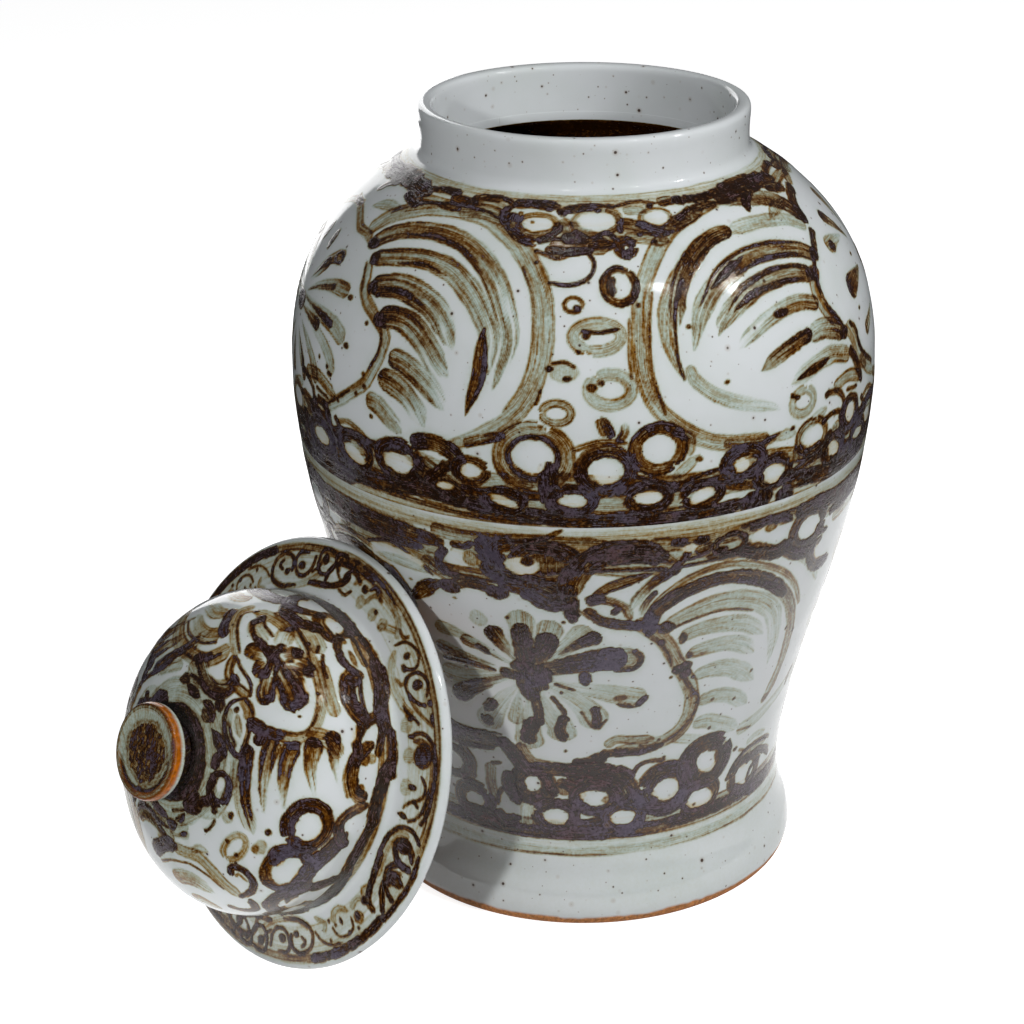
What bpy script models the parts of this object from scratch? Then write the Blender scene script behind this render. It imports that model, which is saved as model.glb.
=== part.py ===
# Temple jar: a glazed baluster jar, thrown in sections that are luted together with slip,
# and its domed lid, which is off the jar and leans against its side on the floor.
import math

import bmesh
import bpy
from mathutils import Matrix

# Sizes of the jar, in metres
jar_height = 0.408
belly_radius = 0.150
neck_height = 0.025
seam_height = 0.238
jar_wall = 0.008
jar_floor = 0.011
foot_recess = 0.0035
foot_ring_width = 0.013
mouth_radius = 0.0754
neck_radius = 0.0820
neck_root_flare = 0.0045
neck_root_rise = 0.0060
lip_swell = 0.0014
lip_round = 0.0024
neck_seat = 0.010
luting_gap = 0.0003

# Sizes of the lid, in metres, upright with its brim's middle at height 0
brim_radius = 0.108
brim_thickness = 0.008
brim_rise = 0.0036
dome_radius = 0.0804
dome_height = 0.080
lid_wall = 0.0065
tenon_clearance = 0.0044
tenon_wall = 0.0060
tenon_depth = 0.0120
tenon_round = 0.0015

# Sizes of the knob, in metres
knob_radius = 0.0238
knob_height = 0.017
knob_disc = 0.0085
knob_dish = 0.0013
stem_radius = 0.0125

# How the lid leans
lid_lean = math.radians(20)
lid_side_step = 0.0155
lean_gap = 0.0003

# Number of flats that stand for the round
jar_flats = 64
lid_flats = 64
knob_flats = 40

# Outside of the thrown body from the foot to the belly:
# share of the body's height, share of the belly's radius
body_wall_shares = [
    (0.000, 0.738),
    (0.006, 0.750),
    (0.020, 0.757),
    (0.045, 0.748),
    (0.072, 0.724),
    (0.105, 0.709),
    (0.145, 0.710),
    (0.200, 0.728),
    (0.270, 0.766),
    (0.360, 0.828),
    (0.460, 0.902),
    (0.560, 0.961),
    (0.650, 0.992),
    (0.715, 1.000),
]

# Shoulder from above the belly to the root of the neck:
# share of the body's height, share of the step from the root's radius to the belly's
shoulder_shares = [
    (0.780, 0.974),
    (0.840, 0.884),
    (0.890, 0.735),
    (0.930, 0.546),
    (0.965, 0.320),
    (0.985, 0.150),
    (1.000, 0.000),
]

# Outside of the dome from the brim to its flat top:
# share of the dome's height, share of the dome's radius
dome_wall_shares = [
    (0.100, 0.980),
    (0.200, 0.992),
    (0.325, 1.000),
    (0.450, 0.995),
    (0.570, 0.960),
    (0.680, 0.898),
    (0.770, 0.818),
    (0.850, 0.706),
    (0.920, 0.562),
    (0.968, 0.400),
    (0.994, 0.255),
]

for old in list(bpy.data.objects):
    bpy.data.objects.remove(old, do_unlink=True)


def wall_from_shares(shares, height, radius, root=0.0):
    """Outline points (radius, height) of a thrown wall that swells from a root radius."""
    step = radius - root
    return [(root + r_share * step, z_share * height) for z_share, r_share in shares]


def piece_of_wall(wall, low, high):
    """The part of a wall between two heights, with a point at each."""
    inside = [point for point in wall if low < point[1] < high]
    return [(radius_at(wall, low), low)] + inside + [(radius_at(wall, high), high)]


def radius_at(wall, height):
    """Radius of a wall at a height."""
    for (r0, z0), (r1, z1) in zip(wall, wall[1:]):
        if z0 <= height <= z1:
            return r0 + (r1 - r0) * (height - z0) / (z1 - z0)
    return wall[-1][0]


def inset(wall, depth):
    """A wall moved inwards along its own slope."""
    moved = []
    for i, (r, z) in enumerate(wall):
        before = wall[max(i - 1, 0)]
        after = wall[min(i + 1, len(wall) - 1)]
        along_r = after[0] - before[0]
        along_z = after[1] - before[1]
        length = math.hypot(along_r, along_z)
        moved.append((r - depth * along_z / length, z + depth * along_r / length))
    return moved


def quarter(centre_r, centre_z, reach, start, steps=3):
    """Points of a rounded edge that turns a quarter anticlockwise from an angle in degrees."""
    points = []
    for i in range(steps + 1):
        turn = math.radians(start + 90 * i / steps)
        points.append((centre_r + reach * math.cos(turn), centre_z + reach * math.sin(turn)))
    return points


def glaze(name, colour, roughness):
    """Principled material of one piece."""
    material = bpy.data.materials.new(name)
    material.use_nodes = True
    shader = material.node_tree.nodes["Principled BSDF"]
    shader.inputs["Base Color"].default_value = (*colour, 1.0)
    shader.inputs["Roughness"].default_value = roughness
    shader.inputs["Metallic"].default_value = 0.0
    material.diffuse_color = (*colour, 1.0)
    return material


def turned(name, outline, flats, material, parent):
    """A body of revolution. An outline that starts and ends on the axis is closed there."""
    mesh = bpy.data.meshes.new(name)
    work = bmesh.new()
    open_ended = outline[0][0] == 0.0 and outline[-1][0] == 0.0
    rings = []
    for r, z in outline:
        if r == 0.0:
            rings.append([work.verts.new((0.0, 0.0, z))])
            continue
        ring = []
        for i in range(flats):
            turn = math.tau * i / flats
            ring.append(work.verts.new((r * math.cos(turn), r * math.sin(turn), z)))
        rings.append(ring)
    pairs = list(zip(rings, rings[1:]))
    if not open_ended:
        pairs.append((rings[-1], rings[0]))
    for a, b in pairs:
        for i in range(flats):
            j = (i + 1) % flats
            corners = [a[i % len(a)], a[j % len(a)], b[j % len(b)], b[i % len(b)]]
            corners = [v for k, v in enumerate(corners) if v not in corners[:k]]
            work.faces.new(corners)
    bmesh.ops.recalc_face_normals(work, faces=work.faces)
    work.to_mesh(mesh)
    work.free()
    for face in mesh.polygons:
        face.use_smooth = True
    mesh.set_sharp_from_angle(angle=math.radians(35))
    mesh.materials.append(material)
    piece = bpy.data.objects.new(name, mesh)
    bpy.context.scene.collection.objects.link(piece)
    piece.parent = parent
    return piece


def empty(name, parent=None):
    """A bare frame that pieces hang on."""
    frame = bpy.data.objects.new(name, None)
    bpy.context.scene.collection.objects.link(frame)
    frame.parent = parent
    return frame


body_height = jar_height - neck_height
neck_root = neck_radius + neck_root_flare
body_wall = wall_from_shares(body_wall_shares, body_height, belly_radius)
body_wall += wall_from_shares(shoulder_shares, body_height, belly_radius, neck_root)
tenon_radius = mouth_radius - tenon_clearance
stem_foot = stem_radius * 1.12
dome_wall = wall_from_shares(dome_wall_shares, dome_height, dome_radius)
dome_wall.append((stem_foot * 1.1, dome_height))


def make_lower_body(parent):
    """Foot ring, floor and lower wall up to the luting seam."""
    floor_top = foot_recess + jar_floor
    outside = piece_of_wall(body_wall, 0.0, seam_height)
    foot_r = outside[0][0]
    ring_r = foot_r - foot_ring_width
    inner = inset(piece_of_wall(body_wall, floor_top, seam_height), jar_wall)
    inner = [point for point in inner if floor_top + jar_wall < point[1] < seam_height]
    inner.append((outside[-1][0] - jar_wall, seam_height))
    corner_r = inner[0][0] - jar_wall
    outline = [(0.0, foot_recess), (ring_r - foot_recess, foot_recess), (ring_r, 0.0)]
    outline += outside
    outline += inner[::-1]
    outline += [(corner_r, floor_top), (0.0, floor_top)]
    clay = glaze("lower_body", (0.52, 0.50, 0.45), 0.18)
    return turned("lower_body", outline, jar_flats, clay, parent)


def make_upper_body(parent):
    """Belly and shoulder between the luting seam and the root of the neck."""
    low = seam_height + luting_gap
    outside = piece_of_wall(body_wall, low, body_height)
    seat_low = body_height - neck_seat
    inner = inset(outside, jar_wall)
    inner = [p for p in inner if low < p[1] < seat_low and p[0] > mouth_radius + jar_wall]
    inner = [(outside[0][0] - jar_wall, low)] + inner
    outline = outside + [(mouth_radius, body_height), (mouth_radius, seat_low)] + inner[::-1]
    clay = glaze("upper_body", (0.50, 0.48, 0.43), 0.18)
    return turned("upper_body", outline, jar_flats, clay, parent)


def make_neck_collar(parent):
    """Short upright neck with a soft, slightly swollen lip."""
    low = body_height + luting_gap
    lip_r = neck_radius + lip_swell
    outline = [(mouth_radius, low), (neck_root, low)]
    outline += [(neck_radius + neck_root_flare * 0.40, low + neck_root_rise * 0.35)]
    outline += [(neck_radius + neck_root_flare * 0.12, low + neck_root_rise * 0.70)]
    outline += [(neck_radius, low + neck_root_rise)]
    outline += [(neck_radius, jar_height - 5 * lip_round)]
    outline += [(lip_r, jar_height - 3 * lip_round)]
    outline += quarter(lip_r - lip_round, jar_height - lip_round, lip_round, 0)
    outline += quarter(mouth_radius + lip_round, jar_height - lip_round, lip_round, 90)
    clay = glaze("neck_collar", (0.60, 0.63, 0.62), 0.15)
    return turned("neck_collar", outline, jar_flats, clay, parent)


def make_lid_cover(parent):
    """Brim and hollow dome, thrown in one."""
    half = brim_thickness / 2
    edge_r = brim_radius - half
    hollow = inset(dome_wall, lid_wall)
    hollow_top = dome_height - lid_wall
    hollow = [point for point in hollow if point[1] < hollow_top]
    outline = [(0.0, hollow_top)]
    outline += hollow[::-1]
    outline += [(tenon_radius, 0.0), (tenon_radius - lid_wall / 2, -half)]
    outline += quarter(edge_r, 0.0, half, -90)
    outline += quarter(edge_r, 0.0, half, 0)[1:]
    outline += [(dome_radius + brim_thickness, half + brim_rise * 0.7)]
    outline += [(dome_radius + lip_round, half + brim_rise)]
    outline += dome_wall
    outline += [(0.0, dome_height)]
    clay = glaze("lid_cover", (0.48, 0.46, 0.41), 0.18)
    return turned("lid_cover", outline, lid_flats, clay, parent)


def make_lid_tenon(parent):
    """Ring under the lid that keeps it centred in the mouth."""
    top = -brim_thickness / 2 - luting_gap
    low = top - tenon_depth
    inner_r = tenon_radius - tenon_wall
    outline = [(inner_r, top)]
    outline += quarter(inner_r + tenon_round, low + tenon_round, tenon_round, 180)
    outline += quarter(tenon_radius - tenon_round, low + tenon_round, tenon_round, 270)
    outline += [(tenon_radius, top)]
    clay = glaze("lid_tenon", (0.46, 0.38, 0.30), 0.6)
    return turned("lid_tenon", outline, lid_flats, clay, parent)


def make_lid_knob(parent):
    """Button knob on a short stem."""
    low = dome_height + luting_gap
    high = low + knob_height
    disc_low = high - knob_disc
    soft = knob_disc * 0.35
    outline = [(0.0, low), (stem_foot, low), (stem_radius, low + soft)]
    outline += [(stem_radius, disc_low - soft / 2), (stem_foot, disc_low)]
    outline += quarter(knob_radius - soft, disc_low + soft, soft, -90)
    outline += quarter(knob_radius - soft, high - soft, soft, 0)
    outline += [(knob_radius - 2 * soft, high - knob_dish), (0.0, high - knob_dish)]
    clay = glaze("lid_knob", (0.36, 0.30, 0.24), 0.22)
    return turned("lid_knob", outline, knob_flats, clay, parent)


def lean_lid(lid_frame, cover):
    """Stand the brim's edge on the floor and let its top edge rest on the jar's wall."""
    turn = Matrix.Rotation(lid_lean - math.pi / 2, 3, "Y")
    points = [turn @ vertex.co for vertex in cover.data.vertices]
    rise = -min(point.z for point in points)
    near = 0.0
    far = -(belly_radius + 2 * brim_radius)
    for _ in range(48):
        middle = (near + far) / 2
        if clearance(points, middle, rise) < lean_gap:
            near = middle
        else:
            far = middle
    lid_frame.rotation_euler = turn.to_euler()
    lid_frame.location = (far, lid_side_step, rise)


def clearance(points, x, rise):
    """Smallest distance from the lid's points, placed at x, to the jar's outside."""
    least = belly_radius
    for point in points:
        r = math.hypot(point.x + x, point.y + lid_side_step)
        z = point.z + rise
        if z > body_height or r > 2 * belly_radius:
            continue
        if r < radius_at(body_wall, z):
            return 0.0
        for (r0, z0), (r1, z1) in zip(body_wall, body_wall[1:]):
            length = (r1 - r0) ** 2 + (z1 - z0) ** 2
            along = ((r - r0) * (r1 - r0) + (z - z0) * (z1 - z0)) / length
            along = min(max(along, 0.0), 1.0)
            least = min(least, math.hypot(r - r0 - along * (r1 - r0), z - z0 - along * (z1 - z0)))
    return least


def middle_of_base(root):
    """Move the whole so that the middle of its base is at the origin."""
    bpy.context.view_layer.update()
    corners = []
    for piece in bpy.data.objects:
        if piece.type == "MESH":
            corners += [piece.matrix_world @ vertex.co for vertex in piece.data.vertices]
    for axis in range(2):
        low = min(corner[axis] for corner in corners)
        high = max(corner[axis] for corner in corners)
        root.location[axis] -= (low + high) / 2


temple_jar = empty("temple_jar")
jar_frame = empty("jar_frame", temple_jar)
make_lower_body(jar_frame)
make_upper_body(jar_frame)
make_neck_collar(jar_frame)
lid_frame = empty("lid_frame", temple_jar)
lid_cover = make_lid_cover(lid_frame)
make_lid_tenon(lid_frame)
make_lid_knob(lid_frame)
lean_lid(lid_frame, lid_cover)
middle_of_base(temple_jar)
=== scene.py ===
# Temple jar with its lid off: pale celadon stoneware, painted all over in brown iron pigment
# with a brush before it was glazed.
import math

import bmesh
import bpy
import numpy as np
from mathutils import Matrix, Vector


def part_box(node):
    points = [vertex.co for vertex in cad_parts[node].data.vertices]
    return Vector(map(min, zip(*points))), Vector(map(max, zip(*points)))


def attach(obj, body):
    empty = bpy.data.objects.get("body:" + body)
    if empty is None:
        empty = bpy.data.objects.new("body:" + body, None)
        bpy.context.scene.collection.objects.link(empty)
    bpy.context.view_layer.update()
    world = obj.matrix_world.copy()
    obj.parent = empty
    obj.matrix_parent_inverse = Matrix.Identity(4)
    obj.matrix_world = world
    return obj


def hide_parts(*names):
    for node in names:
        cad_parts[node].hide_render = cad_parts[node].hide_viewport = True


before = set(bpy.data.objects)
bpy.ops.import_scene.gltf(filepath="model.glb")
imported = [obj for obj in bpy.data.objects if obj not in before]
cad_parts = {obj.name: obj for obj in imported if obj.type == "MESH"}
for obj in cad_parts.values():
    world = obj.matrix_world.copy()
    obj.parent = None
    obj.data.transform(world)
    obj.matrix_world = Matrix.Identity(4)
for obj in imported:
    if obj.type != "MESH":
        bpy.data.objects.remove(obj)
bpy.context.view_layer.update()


# The studio: a round white board on a table that runs on without an edge. One hard lamp beside the
# camera throws the lid's shadow on the jar, soft ones fill from the right, small ones give the glints.
camera_place = (-0.7797, -0.8958, 0.7014)
camera_tilt = (67.91, 0.0, -43.3)
camera_lens = 88.4
camera_shift = (-0.0698, -0.0296)
table_size = 14.0
table_drop = 0.0003
table_glow = 0.88
table_glare = 0.02
board_middle = (0.17, 0.07, 0.0)
board_radius = 0.41
board_rim = 0.02
board_glare = 1.15
aim = (0.0, 0.0, 0.20)
# name, compass angle and height angle in degrees, distance, width and height in metres, watts,
# and whether it is seen in the glaze
lamps = [
    ("front_lamp", -154, 22, 2.0, 0.10, 0.10, 17.5, False),
    ("side_panel", -70, 38, 2.2, 0.80, 0.80, 29.0, False),
    ("side_lamp", -56, 40, 2.0, 0.11, 0.11, 3.5, True),
    ("top_lamp", -154, 78, 1.8, 0.10, 0.10, 1.0, True),
    ("high_lamp", -87, 54, 1.9, 0.12, 0.12, 1.6, True),
    ("rim_panel", 64, 4, 1.5, 0.66, 1.6, 8.0, True),
]
bounce_place = (-0.29, -0.10, 0.004)
bounce_size = (0.24, 0.26)
bounce_watts = 0.15
room_light = 0.03
room_glare = 0.04
white = (1.0, 1.0, 1.0, 1.0)


def put(tree, kind, sockets=(), **settings):
    """A node with its settings; each named or numbered socket gets a value or a link."""
    made = tree.nodes.new(kind)
    for setting, value in settings.items():
        setattr(made, setting, value)
    for socket, value in dict(sockets).items():
        if isinstance(value, bpy.types.NodeSocket):
            tree.links.new(value, made.inputs[socket])
        else:
            made.inputs[socket].default_value = value
    return made


def reckon(tree, operation, *values, clamp=False):
    """One step of arithmetic on sockets or numbers."""
    return put(tree, "ShaderNodeMath", dict(enumerate(values)), operation=operation, use_clamp=clamp).outputs[0]


def place_in_scene(name, data):
    """An object that holds the data, linked into the scene."""
    made = bpy.data.objects.new(name, data)
    bpy.context.scene.collection.objects.link(made)
    return made


def new_material(name):
    """A material with an empty node tree."""
    material = bpy.data.materials.new(name)
    material.use_nodes = True
    material.node_tree.nodes.clear()
    return material, material.node_tree


eye = place_in_scene("eye", bpy.data.cameras.new("eye"))
eye.location = camera_place
eye.rotation_euler = [math.radians(angle) for angle in camera_tilt]
eye.data.sensor_width = 36.0
eye.data.lens = camera_lens
eye.data.shift_x, eye.data.shift_y = camera_shift
eye.data.clip_end = 60.0
bpy.context.scene.camera = eye
bpy.context.scene.view_settings.view_transform = "Standard"

for name, compass, height, distance, wide, tall, watts, seen in lamps:
    lamp = bpy.data.lights.new(name, "AREA")
    lamp.shape = "RECTANGLE"
    lamp.size, lamp.size_y = wide, tall
    lamp.energy = watts
    stand = place_in_scene(name, lamp)
    compass, height = math.radians(compass), math.radians(height)
    flat = math.cos(height) * distance
    offset = Vector((math.cos(compass) * flat, math.sin(compass) * flat, math.sin(height) * distance))
    stand.location = Vector(aim) + offset
    stand.rotation_euler = offset.to_track_quat("Z", "Y").to_euler()
    stand.visible_glossy = seen

# the white table beside the lid throws light up under its dome
card = bpy.data.lights.new("table_bounce", "AREA")
card.shape = "RECTANGLE"
card.size, card.size_y = bounce_size
card.energy = bounce_watts
stand = place_in_scene("table_bounce", card)
stand.location = bounce_place
stand.rotation_euler = (math.pi, 0.0, 0.0)
stand.visible_camera = False
stand.visible_glossy = False

room = bpy.data.worlds.new("room")
bpy.context.scene.world = room
room.use_nodes = True
tree = room.node_tree
tree.nodes.clear()
ray = put(tree, "ShaderNodeLightPath").outputs
seen = reckon(tree, "MULTIPLY", ray["Is Glossy Ray"], room_glare)
seen = reckon(tree, "MAXIMUM", ray["Is Camera Ray"], seen)
seen = reckon(tree, "MAXIMUM", ray["Is Transmission Ray"], seen)
soft = put(tree, "ShaderNodeBackground", {"Color": (0.93, 0.96, 1.0, 1.0), "Strength": room_light}).outputs[0]
bright = put(tree, "ShaderNodeBackground", {"Color": white, "Strength": 1.0}).outputs[0]
both = put(tree, "ShaderNodeMixShader", {0: seen, 1: soft, 2: bright}).outputs[0]
put(tree, "ShaderNodeOutputWorld", {"Surface": both})

table_mesh = bpy.data.meshes.new("table")
half = table_size / 2
table_corners = [(-half, -half), (half, -half), (half, half), (-half, half)]
table_mesh.from_pydata([(x, y, -table_drop) for x, y in table_corners], [], [(0, 1, 2, 3)])
table = place_in_scene("table", table_mesh)
table_top, tree = new_material("table_top")
ray = put(tree, "ShaderNodeLightPath").outputs
place = put(tree, "ShaderNodeNewGeometry").outputs["Position"]
far = put(tree, "ShaderNodeVectorMath", {0: place, 1: board_middle}, operation="DISTANCE").outputs["Value"]
board = put(tree, "ShaderNodeMapRange", {"Value": far, "From Min": board_radius + board_rim,
                                         "From Max": board_radius - board_rim}).outputs[0]
dim, matt = (put(tree, "ShaderNodeBsdfDiffuse", {"Color": (grey, grey, grey, 1.0)}).outputs[0]
             for grey in (0.45, 0.86))
glow, glare, dark = (put(tree, "ShaderNodeEmission", {"Color": white, "Strength": strength}).outputs[0]
                     for strength in (table_glow, board_glare, table_glare))
lit = put(tree, "ShaderNodeAddShader", {0: matt, 1: glow}).outputs[0]
shine = put(tree, "ShaderNodeMixShader", {0: board, 1: dark, 2: glare}).outputs[0]
either = put(tree, "ShaderNodeMixShader", {0: ray["Is Glossy Ray"], 1: dim, 2: shine}).outputs[0]
either = put(tree, "ShaderNodeMixShader", {0: ray["Is Camera Ray"], 1: either, 2: lit}).outputs[0]
put(tree, "ShaderNodeOutputMaterial", {"Surface": either})
table_mesh.materials.append(table_top)


# The lower body: foot, flared base and lower wall, thrown in stoneware as one section up to the seam
# and luted to the upper one with slip. A chain band stands on the foot line and another hangs under
# the seam, with flower panels and fans between them, painted in iron and dipped in celadon glaze.
neck_low, neck_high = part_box("neck_collar")
jar_axis = (neck_low[0] + neck_high[0]) / 2
jar_top = neck_high[2]
neck_height = 0.025
body_height = jar_top - neck_height
belly_radius = 0.150
neck_root = 0.0865
mouth_radius = 0.0754
neck_radius = 0.0820
seam_height = 0.238
joint_gap = 0.0003
wall_thickness = 0.008
floor_thickness = 0.011
foot_recess = 0.0035
foot_ring = 0.013
glaze_skin = 0.00015
cell = 0.75
weld_gap = 2e-6
# share of the body's height, share of the belly's radius
wall_shares = [(0, .738), (.006, .750), (.020, .757), (.045, .748), (.072, .724), (.105, .709), (.145, .710),
               (.200, .728), (.270, .766), (.360, .828), (.460, .902), (.560, .961), (.650, .992), (.715, 1)]
# share of the body's height, share of the step from the neck's root to the belly
shoulder_shares = [(.780, .974), (.840, .884), (.890, .735), (.930, .546), (.965, .320), (.985, .150), (1, 0)]
# the camera's side of the jar: painted angles are measured from it
front = -133.3


def length_along(points):
    """How far along a line each of its points lies."""
    return np.concatenate([[0], np.cumsum(np.hypot(*np.diff(points[:, :2], axis=0).T))])


def smooth_line(points, step=None, count=None):
    """A line that runs smoothly through the points, in even steps."""
    points = np.array(points, float)
    padded = np.vstack([2 * points[0] - points[1], points, 2 * points[-1] - points[-2]])
    fine = []
    for p0, p1, p2, p3 in zip(padded, padded[1:], padded[2:], padded[3:]):
        t = np.linspace(0, 1, 16, endpoint=False)[:, None]
        fine.append(0.5 * (2 * p1 + (p2 - p0) * t + (2 * p0 - 5 * p1 + 4 * p2 - p3) * t ** 2
                           + (3 * p1 - p0 - 3 * p2 + p3) * t ** 3))
    fine = np.vstack(fine + [points[-1:]])
    far = length_along(fine)
    count = count or max(2, int(round(far[-1] / step)) + 1)
    even = np.linspace(0, far[-1], count)
    return np.stack([np.interp(even, far, fine[:, k]) for k in range(fine.shape[1])], 1)


def inset(line, depth):
    """An outline moved inwards along its own slope."""
    along = np.gradient(line, axis=0)
    along /= np.linalg.norm(along, axis=1)[:, None]
    return line + depth * np.stack([-along[:, 1], along[:, 0]], 1)


outside = [(r * belly_radius, z * body_height) for z, r in wall_shares]
outside += [(neck_root + r * (belly_radius - neck_root), z * body_height) for z, r in shoulder_shares]
outside = smooth_line(outside, step=0.0002)
outside_length = length_along(outside)


def between(low, high, step):
    """The jar's outer wall from one height to another, in even steps, with the length up from the foot."""
    ends = np.interp([low, high], outside[:, 1], outside_length)
    length = np.linspace(*ends, int(round((ends[1] - ends[0]) / step)) + 1)
    return np.stack([np.interp(length, outside_length, outside[:, k]) for k in (0, 1)], 1), length


# the wheel: an outline turned about the upright axis, as geometry nodes
wheel = bpy.data.node_groups.new("turned on the wheel", "GeometryNodeTree")
for name, kind in (("Outline", "Geometry"), ("Columns", "Int"), ("From Angle", "Float"), ("To Angle", "Float"),
                   ("Weld", "Float"), ("Clay", "Material")):
    wheel.interface.new_socket(name, in_out="INPUT", socket_type="NodeSocket" + kind)
wheel.interface.new_socket("Shape", in_out="OUTPUT", socket_type="NodeSocketGeometry")
given = put(wheel, "NodeGroupInput").outputs
corners = put(wheel, "GeometryNodeAttributeDomainSize", {"Geometry": given["Outline"]}).outputs["Point Count"]
rows = reckon(wheel, "ADD", corners, 1.0)
columns = reckon(wheel, "ADD", given["Columns"], 1.0)
sheet = put(wheel, "GeometryNodeMeshGrid", {"Vertices X": columns, "Vertices Y": rows}).outputs["Mesh"]
number = put(wheel, "GeometryNodeInputIndex").outputs[0]
column = put(wheel, "FunctionNodeIntegerMath", {0: number, 1: rows}, operation="DIVIDE_FLOOR").outputs[0]
row = put(wheel, "FunctionNodeIntegerMath", {0: number, 1: rows}, operation="MODULO").outputs[0]
row = put(wheel, "FunctionNodeIntegerMath", {0: row, 1: corners}, operation="MODULO").outputs[0]
place = put(wheel, "GeometryNodeInputPosition").outputs[0]
corner = put(wheel, "GeometryNodeSampleIndex", {"Geometry": given["Outline"], "Value": place, "Index": row},
             data_type="FLOAT_VECTOR").outputs[0]
corner = put(wheel, "ShaderNodeSeparateXYZ", {0: corner}).outputs
turn = put(wheel, "ShaderNodeMapRange", {"Value": column, "From Max": given["Columns"],
                                         "To Min": given["From Angle"], "To Max": given["To Angle"]}).outputs[0]
x = reckon(wheel, "MULTIPLY", corner["X"], reckon(wheel, "COSINE", turn))
y = reckon(wheel, "MULTIPLY", corner["X"], reckon(wheel, "SINE", turn))
point = put(wheel, "ShaderNodeCombineXYZ", {"X": x, "Y": y, "Z": corner["Z"]}).outputs[0]
for label, value in (("row", row), ("column", column)):
    sheet = put(wheel, "GeometryNodeStoreNamedAttribute", {"Geometry": sheet, "Name": label, "Value": value},
                data_type="INT", domain="POINT").outputs[0]
shape = put(wheel, "GeometryNodeSetPosition", {"Geometry": sheet, "Position": point}).outputs[0]
shape = put(wheel, "GeometryNodeMergeByDistance", {"Geometry": shape, "Distance": given["Weld"]}).outputs[0]
shape = put(wheel, "GeometryNodeRealizeInstances", {0: shape}).outputs[0]
shape = put(wheel, "GeometryNodeSetMaterial", {"Geometry": shape, "Material": given["Clay"]}).outputs[0]
put(wheel, "NodeGroupOutput", {0: shape})


def turned(name, outline, columns, clay, start=-180.0, end=180.0):
    """The mesh of a closed outline (radius, height) turned between two angles, whole or a sector."""
    outline = np.asarray(outline, float)
    line = bpy.data.meshes.new(name)
    edges = [(i, i + 1) for i in range(len(outline) - 1)]
    line.from_pydata([(r, 0.0, z) for r, z in outline], edges, [])
    blank = place_in_scene(name, line)
    work = blank.modifiers.new("wheel", "NODES")
    work.node_group = wheel
    values = {"Columns": columns, "From Angle": math.radians(start), "To Angle": math.radians(end),
              "Weld": weld_gap, "Clay": clay}
    for socket in wheel.interface.items_tree:
        if socket.in_out == "INPUT" and socket.name in values:
            work[socket.identifier] = values[socket.name]
    graph = bpy.context.evaluated_depsgraph_get()
    mesh = bpy.data.meshes.new_from_object(blank.evaluated_get(graph))
    mesh.name = name
    bpy.data.objects.remove(blank)
    bpy.data.meshes.remove(line)
    work = bmesh.new()
    work.from_mesh(mesh)
    bmesh.ops.delete(work, geom=[edge for edge in work.edges if edge.is_wire], context="EDGES")
    rim = [edge for edge in work.edges if edge.is_boundary]
    if rim:
        bmesh.ops.holes_fill(work, edges=rim, sides=0)
    bmesh.ops.recalc_face_normals(work, faces=work.faces)
    work.to_mesh(mesh)
    work.free()
    return mesh


# the brush: iron pigment laid on the raw clay with a loaded brush. Each painted wall keeps how much
# pigment lies at every spot, how brown it is, and which way the bristles ran
grain_size = 256
grain_table = np.random.default_rng(41).random((grain_size, grain_size))
# the most pigment that a spot holds, and the least that a stroke leaves
most_load = 1.3
least_ink = 0.02
# in mm: a stroke's soft edge, the margin worked out round it, the least radius to reckon with, and how
# far one stroke's bristles lie from the next one's in the noise that streaks them
soft_edge = 0.75
margin = 2.5
closest_turn = 8.0
bristle_apart = 13.7
# strokes that follow their points, and those of them that run dry towards their end
strokes_along = ("arc", "comb", "petal", "leaf")
strokes_dry = ("comb", "petal")


def grain(x, y, seed=0):
    """Soft noise from -1 to 1 over two coordinates."""
    x, y = x + seed * 37.3, y + seed * 11.9
    i, j = np.floor(x).astype(int), np.floor(y).astype(int)
    u, v = x - i, y - j
    u, v = u * u * (3 - 2 * u), v * v * (3 - 2 * v)

    def pick(a, b):
        return grain_table[a % grain_size, b % grain_size]

    low = pick(i, j) * (1 - u) + pick(i + 1, j) * u
    high = pick(i, j + 1) * (1 - u) + pick(i + 1, j + 1) * u
    return 2 * (low * (1 - v) + high * v) - 1


def painted_wall(length, radius, columns, brown=0.0):
    """A bare wall to paint: rows up it in mm, columns round it in degrees, how brown thin pigment fires."""
    shape = (len(length), columns)
    return {"up": np.asarray(length) * 1000, "radius": np.asarray(radius) * 1000,
            "turn": np.arange(columns) * 360 / columns - 180, "strokes": 0, "brown": brown,
            **{label: np.zeros(shape) for label in ("ink", "rust", "bare", "across", "along")}}


def window(wall, turn, up, reach):
    """The rows and columns of a wall round a stroke, and where they lie from its middle in mm."""
    middle = (turn.min() + turn.max()) / 2
    first = np.searchsorted(wall["up"], up.min() - reach)
    last = max(np.searchsorted(wall["up"], up.max() + reach), first + 1)
    r = wall["radius"][first:last]
    half = (turn.max() - turn.min()) / 2 + math.degrees(reach / max(r.min(), closest_turn))
    columns = len(wall["turn"])
    span = min(int(half * columns / 360) + 1, columns // 2 - 1)
    near = int(round((middle + 180) * columns / 360))
    picked = np.arange(near - span, near + span + 1)
    angle = picked * 360 / columns - 180 - middle
    return (np.ix_(np.arange(first, last), picked % columns), middle,
            np.radians(angle)[None, :] * r[:, None], np.repeat(wall["up"][first:last, None], len(picked), 1))


def slant(tilt):
    """Cosine and sine of a tilt in degrees."""
    return math.cos(math.radians(tilt)), math.sin(math.radians(tilt))


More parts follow.
